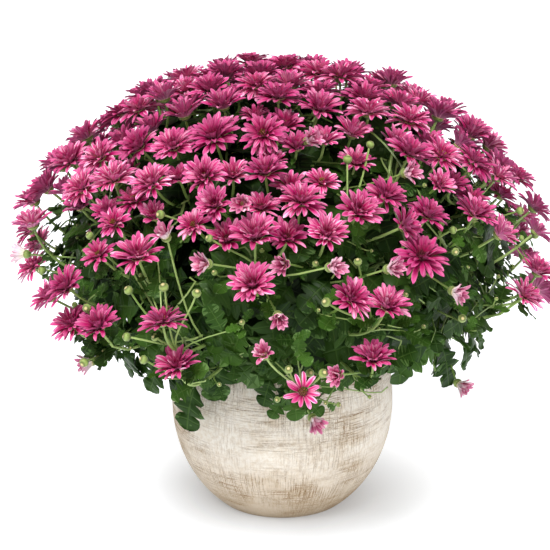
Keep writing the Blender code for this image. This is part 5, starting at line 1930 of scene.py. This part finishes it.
def banded(tree, value, colour, bands):
    """A colour that turns to another over each band of a value. A band is its start, its end and a colour."""
    colour = linear(colour)
    for start, end, other in bands:
        share = add(tree, "MapRange", {"Value": value, "From Min": start, "From Max": end})[0]
        colour = add(tree, "MixRGB", {"Fac": share, "Color1": colour, "Color2": linear(other)})[0]
    return colour


def ray_floret(name, root, middle, tip, pale, inner):
    """Living petal tissue, matt and thin: the colour is deep at the root and paler at the tip and margin.

    Pale streaks run along it. They are drawn about 1.2 mm wide, twice as coarse as real ones, so that they
    show. Some florets are paler than others, and those deep in the head are darker.
    """
    made, tree, shader = new_material(name, 0.6, Specular_IOR_Level=0.15)
    along, across, tone, depth = [add(tree, "Attribute", attribute_name=mark)["Fac"] for mark in MARKS]
    colour = banded(tree, along, root, ((0.1, 0.5, middle), (0.55, 1.0, tip)))
    place = add(tree, "CombineXYZ", {"X": across, "Y": along, "Z": tone})[0]
    place = add(tree, "VectorMath", {0: place, 1: STREAK_SCALES}, operation="MULTIPLY")[0]
    streaks = add(tree, "TexNoise", {"Vector": place, "Scale": 1.6, "Detail": 1.0})[0]
    streaks = add(tree, "MapRange", {"Value": streaks, "From Min": 0.50, "From Max": 0.64, "To Max": 0.95})[0]
    margin = add(tree, "Math", {0: across}, operation="ABSOLUTE")[0]
    margin = add(tree, "MapRange", {"Value": margin, "From Min": 0.5, "From Max": 1.0, "To Max": 0.6})[0]
    amount = add(tree, "Math", {0: streaks, 1: margin}, operation="MAXIMUM")[0]
    chosen = add(tree, "MapRange", {"Value": tone, "From Min": 0.35, "From Max": 0.9, "To Min": 0.22})[0]
    outward = add(tree, "MapRange", {"Value": along, "From Min": 0.25, "From Max": 0.8, "To Min": 0.2})[0]
    for share in (chosen, outward):
        amount = add(tree, "Math", {0: amount, 1: share}, operation="MULTIPLY")[0]
    colour = add(tree, "MixRGB", {"Fac": amount, "Color1": colour, "Color2": linear(pale)})[0]
    inward = add(tree, "Math", {0: depth, 1: 0.7}, operation="MULTIPLY")[0]
    colour = add(tree, "MixRGB", {"Fac": inward, "Color1": colour, "Color2": linear(inner)})[0]
    bright = add(tree, "MapRange", {"Value": tone, "To Min": 0.72, "To Max": 1.22})[0]
    colour = add(tree, "HueSaturation", {"Value": bright, "Color": colour})[0]
    tree.links.new(colour, shader.inputs["Base Color"])
    return made


def disc_florets():
    """Tiny tubular florets, matt: dark maroon with paler tips while closed, and yellow once they open."""
    made, tree, shader = new_material("disc_floret", 0.6)
    along = add(tree, "Attribute", attribute_name="along")["Fac"]
    tone = add(tree, "Attribute", attribute_name="tone")["Fac"]
    tips = banded(tree, tone, "#9A4A50", ((0.72, 0.78, "#C9AE3E"),))
    colour = add(tree, "MixRGB", {"Fac": along, "Color1": linear("#4A0E26"), "Color2": tips})[0]
    tree.links.new(colour, shader.inputs["Base Color"])
    return made


def bract():
    """Green bracts, whose down gives a soft sheen: a darker ring, and cream where the bud starts to show."""
    made, tree, shader = new_material("green_bract", 0.55, Sheen_Weight=0.2)
    along = add(tree, "Attribute", attribute_name="along")["Fac"]
    bands = ((0.0, 0.5, "#8FA452"), (0.60, 0.80, "#5E6B2C"), (0.84, 1.0, "#D6C688"))
    tree.links.new(banded(tree, along, "#5A7430", bands), shader.inputs["Base Color"])
    return made


def leaf_blade(name, dark, light, vein):
    """A leaf's waxy skin, nearly matt: a little paler on the sunken veins, and each leaf of its own green.
    Its inner mark
    gives it painted shade: leaves inside the bush and high under the heads are darker.

    The side veins of a real leaf are about 0.3 mm wide. They are drawn about 1.5 mm wide so that they show.
    """
    made, tree, shader = new_material(name, 0.45, Specular_IOR_Level=0.14)
    along, across, tone, depth = [add(tree, "Attribute", attribute_name=mark)["Fac"] for mark in MARKS]
    colour = add(tree, "MixRGB", {"Fac": tone, "Color1": linear(dark), "Color2": linear(light)})[0]
    off_midrib = add(tree, "Math", {0: across}, operation="ABSOLUTE")[0]
    ranges = {"From Min": 0.02, "From Max": 0.10, "To Min": 1.0, "To Max": 0.0}
    veins = add(tree, "MapRange", {"Value": off_midrib, **ranges})[0]
    ranges = {"From Min": 0.004, "From Max": 0.022, "To Min": 0.8, "To Max": 0.0}
    for place in LEAF_VEINS:
        apart = add(tree, "Math", {0: along, 1: place}, operation="SUBTRACT")[0]
        apart = add(tree, "Math", {0: apart}, operation="ABSOLUTE")[0]
        lateral = add(tree, "MapRange", {"Value": apart, **ranges})[0]
        veins = add(tree, "Math", {0: veins, 1: lateral}, operation="MAXIMUM")[0]
    amount = add(tree, "Math", {0: veins, 1: 0.22}, operation="MULTIPLY")[0]
    colour = add(tree, "MixRGB", {"Fac": amount, "Color1": colour, "Color2": linear(vein)})[0]
    # Painted shade: the inner mark darkens a leaf, down to 0.3 of its value.
    darker = add(tree, "MapRange", {"Value": depth, "To Min": 1.0, "To Max": 0.3})[0]
    colour = add(tree, "HueSaturation", {"Value": darker, "Color": colour})[0]
    tree.links.new(colour, shader.inputs["Base Color"])
    height = add(tree, "Math", {0: veins, 1: -1.0}, operation="MULTIPLY")[0]
    bump = add(tree, "Bump", {"Height": height, "Strength": 0.5, "Distance": VEIN_DEPTH})[0]
    tree.links.new(bump, shader.inputs["Normal"])
    return made


def young_stem():
    """Herbaceous stem, satin and smooth: pale green where it is young, darker near the soil."""
    made, tree, shader = new_material("young_stem", 0.5)
    along = add(tree, "Attribute", attribute_name="along")["Fac"]
    tone = add(tree, "Attribute", attribute_name="tone")["Fac"]
    young = add(tree, "MixRGB", {"Fac": tone, "Color1": linear("#6E8C3C"), "Color2": linear("#9DB468")})[0]
    age = add(tree, "MapRange", {"Value": along, "From Min": 0.1, "From Max": 0.6})[0]
    colour = add(tree, "MixRGB", {"Fac": age, "Color1": linear("#4C5A2C"), "Color2": young})[0]
    tree.links.new(colour, shader.inputs["Base Color"])
    return made


def scraped_whitewash():
    """Earthenware, whitewashed and combed crosswise while damp: chalky matt white over brown scratches."""
    made, tree, shader = new_material("scraped_whitewash", 0.85, Specular_IOR_Level=0.25)
    place = add(tree, "TexCoord")["Object"]
    height = add(tree, "SeparateXYZ", {"Vector": place})["Z"]
    both, wear = wall_pattern(tree, place)
    shown = scratches(tree, both, wear, height)
    wash = add(tree, "MixRGB", {"Fac": wear, "Color1": linear("#FBF7F0"), "Color2": linear("#E4D8C6")})[0]
    mottle = {"Vector": both, "Scale": MOTTLE_SCALE, "Detail": 3.0, "Roughness": 0.7}
    mottle = add(tree, "TexNoise", mottle)[0]
    spots = {"Value": mottle, "From Min": 0.42, "From Max": 0.66, "To Max": 0.45}
    stain = {"Value": wear, "From Min": 0.50, "From Max": 0.66, "To Max": 0.42}
    # The tan towards the foot is partly the clay's own tint and partly painted shade under the belly.
    foot_tint_and_shade = {"Value": height, "From Min": 0.0, "From Max": 0.085, "To Min": 0.85, "To Max": 0.0}
    for inputs, brown in ((spots, "#D5C2A6"), (stain, "#B79C78"), (foot_tint_and_shade, "#B49E80")):
        share = add(tree, "MapRange", inputs)[0]
        wash = add(tree, "MixRGB", {"Fac": share, "Color1": wash, "Color2": linear(brown)})[0]
    colour = add(tree, "MixRGB", {"Fac": shown, "Color1": wash, "Color2": linear("#8A6B46")})[0]
    tree.links.new(colour, shader.inputs["Base Color"])
    depth = add(tree, "Math", {0: shown, 1: -1.0}, operation="MULTIPLY")[0]
    bump = add(tree, "Bump", {"Height": depth, "Strength": 0.6, "Distance": SCRATCH_DEPTH})[0]
    tree.links.new(bump, shader.inputs["Normal"])
    return made


def wall_pattern(tree, place):
    """A place's position on the pot's outer wall, whatever its depth, and how worn the wash is there."""
    flat = add(tree, "VectorMath", {0: place, 1: (1.0, 1.0, 0.0)}, operation="MULTIPLY")[0]
    around = add(tree, "VectorMath", {0: flat}, operation="NORMALIZE")[0]
    ring = add(tree, "VectorMath", {0: around, 1: (POT_RADIUS, POT_RADIUS, 0.0)}, operation="MULTIPLY")[0]
    level = add(tree, "VectorMath", {0: place, 1: (0.0, 0.0, 1.0)}, operation="MULTIPLY")[0]
    both = add(tree, "VectorMath", {0: ring, 1: level}, operation="ADD")[0]
    broad = add(tree, "VectorMath", {0: both, 1: WEAR_SCALES}, operation="MULTIPLY")[0]
    wear = {"Vector": broad, "Scale": 1.0, "Detail": 4.0, "Roughness": 0.6}
    return both, add(tree, "TexNoise", wear)[0]


def scratches(tree, both, wear, height):
    """How much brown clay the strokes lay bare: more where the wash is worn, near the rim and in a band."""
    broken = add(tree, "TexNoise", {"Vector": both, "Scale": GRAIN_SCALE, "Detail": 1.0})[0]
    broken = add(tree, "MapRange", {"Value": broken, "From Min": 0.35, "From Max": 0.60, "To Min": 0.45})[0]
    marks = 0.0
    for stroke_scales, patch_scales in ((ACROSS_SCALES, ACROSS_PATCHES), (UPRIGHT_SCALES, UPRIGHT_PATCHES)):
        long = add(tree, "VectorMath", {0: both, 1: stroke_scales}, operation="MULTIPLY")[0]
        strokes = add(tree, "TexNoise", {"Vector": long, "Scale": 1.0, "Detail": 1.0})[0]
        strokes = add(tree, "MapRange", {"Value": strokes, "From Min": 0.50, "From Max": 0.58})[0]
        wide = add(tree, "VectorMath", {0: both, 1: patch_scales}, operation="MULTIPLY")[0]
        combed = add(tree, "TexNoise", {"Vector": wide, "Scale": 1.0, "Detail": 2.0})[0]
        ranges = {"From Min": 0.38, "From Max": 0.56, "To Min": 0.15}
        combed = add(tree, "MapRange", {"Value": combed, **ranges})[0]
        strokes = add(tree, "Math", {0: strokes, 1: combed}, operation="MULTIPLY")[0]
        marks = add(tree, "Math", {0: marks, 1: strokes}, operation="MAXIMUM")[0]
    marks = add(tree, "Math", {0: marks, 1: broken}, operation="MULTIPLY")[0]
    off_band = add(tree, "Math", {0: height, 1: BAND_HEIGHT}, operation="SUBTRACT")[0]
    off_band = add(tree, "Math", {0: off_band}, operation="ABSOLUTE")[0]
    worn = 0.0
    for inputs in (
        {"Value": wear, "From Min": 0.40, "From Max": 0.64, "To Min": 0.24, "To Max": 0.80},
        {"Value": height, "From Min": 0.085, "From Max": 0.150, "To Min": 0.0, "To Max": 0.40},
        {"Value": off_band, "From Min": 0.0, "From Max": 0.020, "To Min": 0.45, "To Max": 0.0},
    ):
        more = add(tree, "MapRange", inputs)[0]
        worn = add(tree, "Math", {0: worn, 1: more}, operation="ADD")[0]
    worn = add(tree, "Math", {0: worn, 1: 1.0}, operation="MINIMUM")[0]
    return add(tree, "Math", {0: marks, 1: worn}, operation="MULTIPLY")[0]


def potting_compost():
    """Moist peat compost: dark, crumbly and dull, with paler fibres about 2 mm apart."""
    made, tree, shader = new_material("potting_compost", 0.95)
    place = add(tree, "TexCoord")["Object"]
    grains = add(tree, "TexNoise", {"Vector": place, "Scale": FIBRE_SCALE, "Detail": 3.0})[0]
    colour = add(tree, "MixRGB", {"Fac": grains, "Color1": linear("#1C130C"), "Color2": linear("#5A4632")})[0]
    tree.links.new(colour, shader.inputs["Base Color"])
    bump = add(tree, "Bump", {"Height": grains, "Strength": 0.8, "Distance": CRUMB_DEPTH})[0]
    tree.links.new(bump, shader.inputs["Normal"])
    return made


# Studio

# Lamps as (name, the way the light goes, strength, spread in degrees)
LAMPS = (
    ("key", (0.40, 0.85, -1.45), 3.45, 30),
    ("fill", (-0.7, 1.0, -0.5), 0.8, 60),
)
WORLD_STRENGTH = 0.24
FLOOR_REACH = 14.0
WALL_REACH = 12.0
WALL_HEIGHT = 5.0
WALL_SIDES = 64

# Camera: its place and pitch, and its focal length in pixels of the photograph
SENSOR_WIDTH = 36.0
CAMERA_PLACE = (-0.0073, -1.5, 0.668)
CAMERA_PITCH = 16.3
CAMERA_FOCUS = 1596.0
PHOTO_WIDTH = 550


def white_floor():
    """White sweep paper, matt, that glows evenly white away from the pot and less near it: painted shadow
    round the foot, so that only the shadow there shows.
    """
    made, tree, shader = new_material("white_floor", 0.9, Specular_IOR_Level=0.0)
    shader.inputs["Base Color"].default_value = linear("#C1C4C8")
    shader.inputs["Emission Color"].default_value = linear("#FFFFFF")
    place = add(tree, "TexCoord")["Object"]
    away = add(tree, "VectorMath", {0: place}, operation="LENGTH")["Value"]
    # Painted shadow: the glow fades towards the pot, so the floor is darker round its foot on top of the cast
    # shadow.
    ranges = {"From Min": 0.055, "From Max": 0.165, "To Min": 0.22, "To Max": 0.86}
    glow = add(tree, "MapRange", {"Value": away, **ranges})[0]
    tree.links.new(glow, shader.inputs["Emission Strength"])
    return made


def backdrop():
    """A round white paper wall far behind everything, which only shows and gives no light."""
    bpy.ops.mesh.primitive_cylinder_add(
        vertices=WALL_SIDES, radius=WALL_REACH, depth=2 * WALL_HEIGHT, end_fill_type="NOTHING"
    )
    wall = bpy.context.object
    wall.name = "backdrop"
    wall.visible_diffuse = False
    wall.visible_glossy = False
    wall.visible_shadow = False
    white, _, shader = new_material("white_paper", 1.0, Specular_IOR_Level=0.0, Emission_Strength=1.0)
    shader.inputs["Base Color"].default_value = linear("#000000")
    shader.inputs["Emission Color"].default_value = linear("#FFFFFF")
    wall.data.materials.append(white)


def floor():
    """The floor that the pot stands on."""
    bpy.ops.mesh.primitive_plane_add(size=2 * FLOOR_REACH)
    sheet = bpy.context.object
    sheet.name = "floor"
    sheet.data.materials.append(white_floor())


def lamps():
    """Two wide soft lights from the upper left and the right, and an even white sky."""
    for name, way, power, across in LAMPS:
        lamp = bpy.data.lights.new(name, "SUN")
        lamp.energy = power
        lamp.angle = math.radians(across)
        light = bpy.data.objects.new(name, lamp)
        light.rotation_euler = Vector(way).to_track_quat("-Z", "Y").to_euler()
        light.location = -Vector(way)
        bpy.context.scene.collection.objects.link(light)
    world = bpy.data.worlds.new("studio")
    world.use_nodes = True
    sky = world.node_tree.nodes["Background"]
    sky.inputs["Color"].default_value = linear("#FFFFFF")
    sky.inputs["Strength"].default_value = WORLD_STRENGTH
    bpy.context.scene.world = world
    bpy.context.scene.view_settings.view_transform = "Standard"


def camera():
    """The camera of the photograph."""
    lens = bpy.data.cameras.new("camera")
    lens.lens = SENSOR_WIDTH * CAMERA_FOCUS / PHOTO_WIDTH
    lens.sensor_width = SENSOR_WIDTH
    made = bpy.data.objects.new("camera", lens)
    made.location = CAMERA_PLACE
    made.rotation_euler = (math.radians(90 - CAMERA_PITCH), 0, 0)
    bpy.context.scene.collection.objects.link(made)
    bpy.context.scene.camera = made


def dress_plants(clusters, heads):
    """The layout of all plants, with the heads, buds and leaves that the solids leave out."""
    plants = grow_plants(clusters)
    rng = random.Random(LOOKS_SEED)
    fill_gaps(clusters, heads, rng)
    space = Space(heads)
    for azimuth, height in HALF_OPEN_FLOWERS:
        add_on_dome(plants, azimuth, height, HALF_OPEN_RADIUS, True, space)
    for azimuth, height in BUDS:
        add_on_dome(plants, azimuth, height, rng.uniform(*BUD_RADII), False, space)
    add_foliage(plants, space, rng)
    add_rim_leaves(plants)
    turn_to_light(heads, rng)
    return plants, space


def main():
    """Make every piece and the studio."""
    clusters = all_clusters()
    heads = [head for _, _, cluster in clusters for head in cluster]
    plants, space = dress_plants(clusters, heads)
    green = bract()
    face = ray_floret("ray_floret_face", "#860439", "#C4126A", "#E05A9A", "#F8C8DE", "#940A3E")
    back = ray_floret("ray_floret_back", "#D290AE", "#C65C92", "#BC4482", "#F3D0E0", "#A6386E")
    flower = [face, back, disc_florets(), green]
    bloom_pieces(clusters, heads, flower, np.random.default_rng(FLOWER_SEED))
    upper = leaf_blade("leaf_face", "#142E0A", "#40641F", "#6C9142")
    under = leaf_blade("leaf_back", "#3E5D2A", "#628243", "#7F9E5C")
    young = ray_floret("young_floret_face", "#C8336F", "#D2528C", "#E78DB4", "#FBEDF2", "#A81C54")
    pale = ray_floret("young_floret_back", "#E9E6C4", "#F3DDE3", "#E9A6C2", "#FFF8F6", "#D99AB4")
    greens = [upper, under, young_stem(), green, young, pale]
    for plant in plants:
        rng = np.random.default_rng(GREENERY_SEED + plant.index)
        plant_piece(plant, clusters, greens, space, rng)
    pot_piece(scraped_whitewash())
    soil_piece(potting_compost(), np.random.default_rng(SOIL_SEED))
    floor()
    backdrop()
    lamps()
    camera()


main()
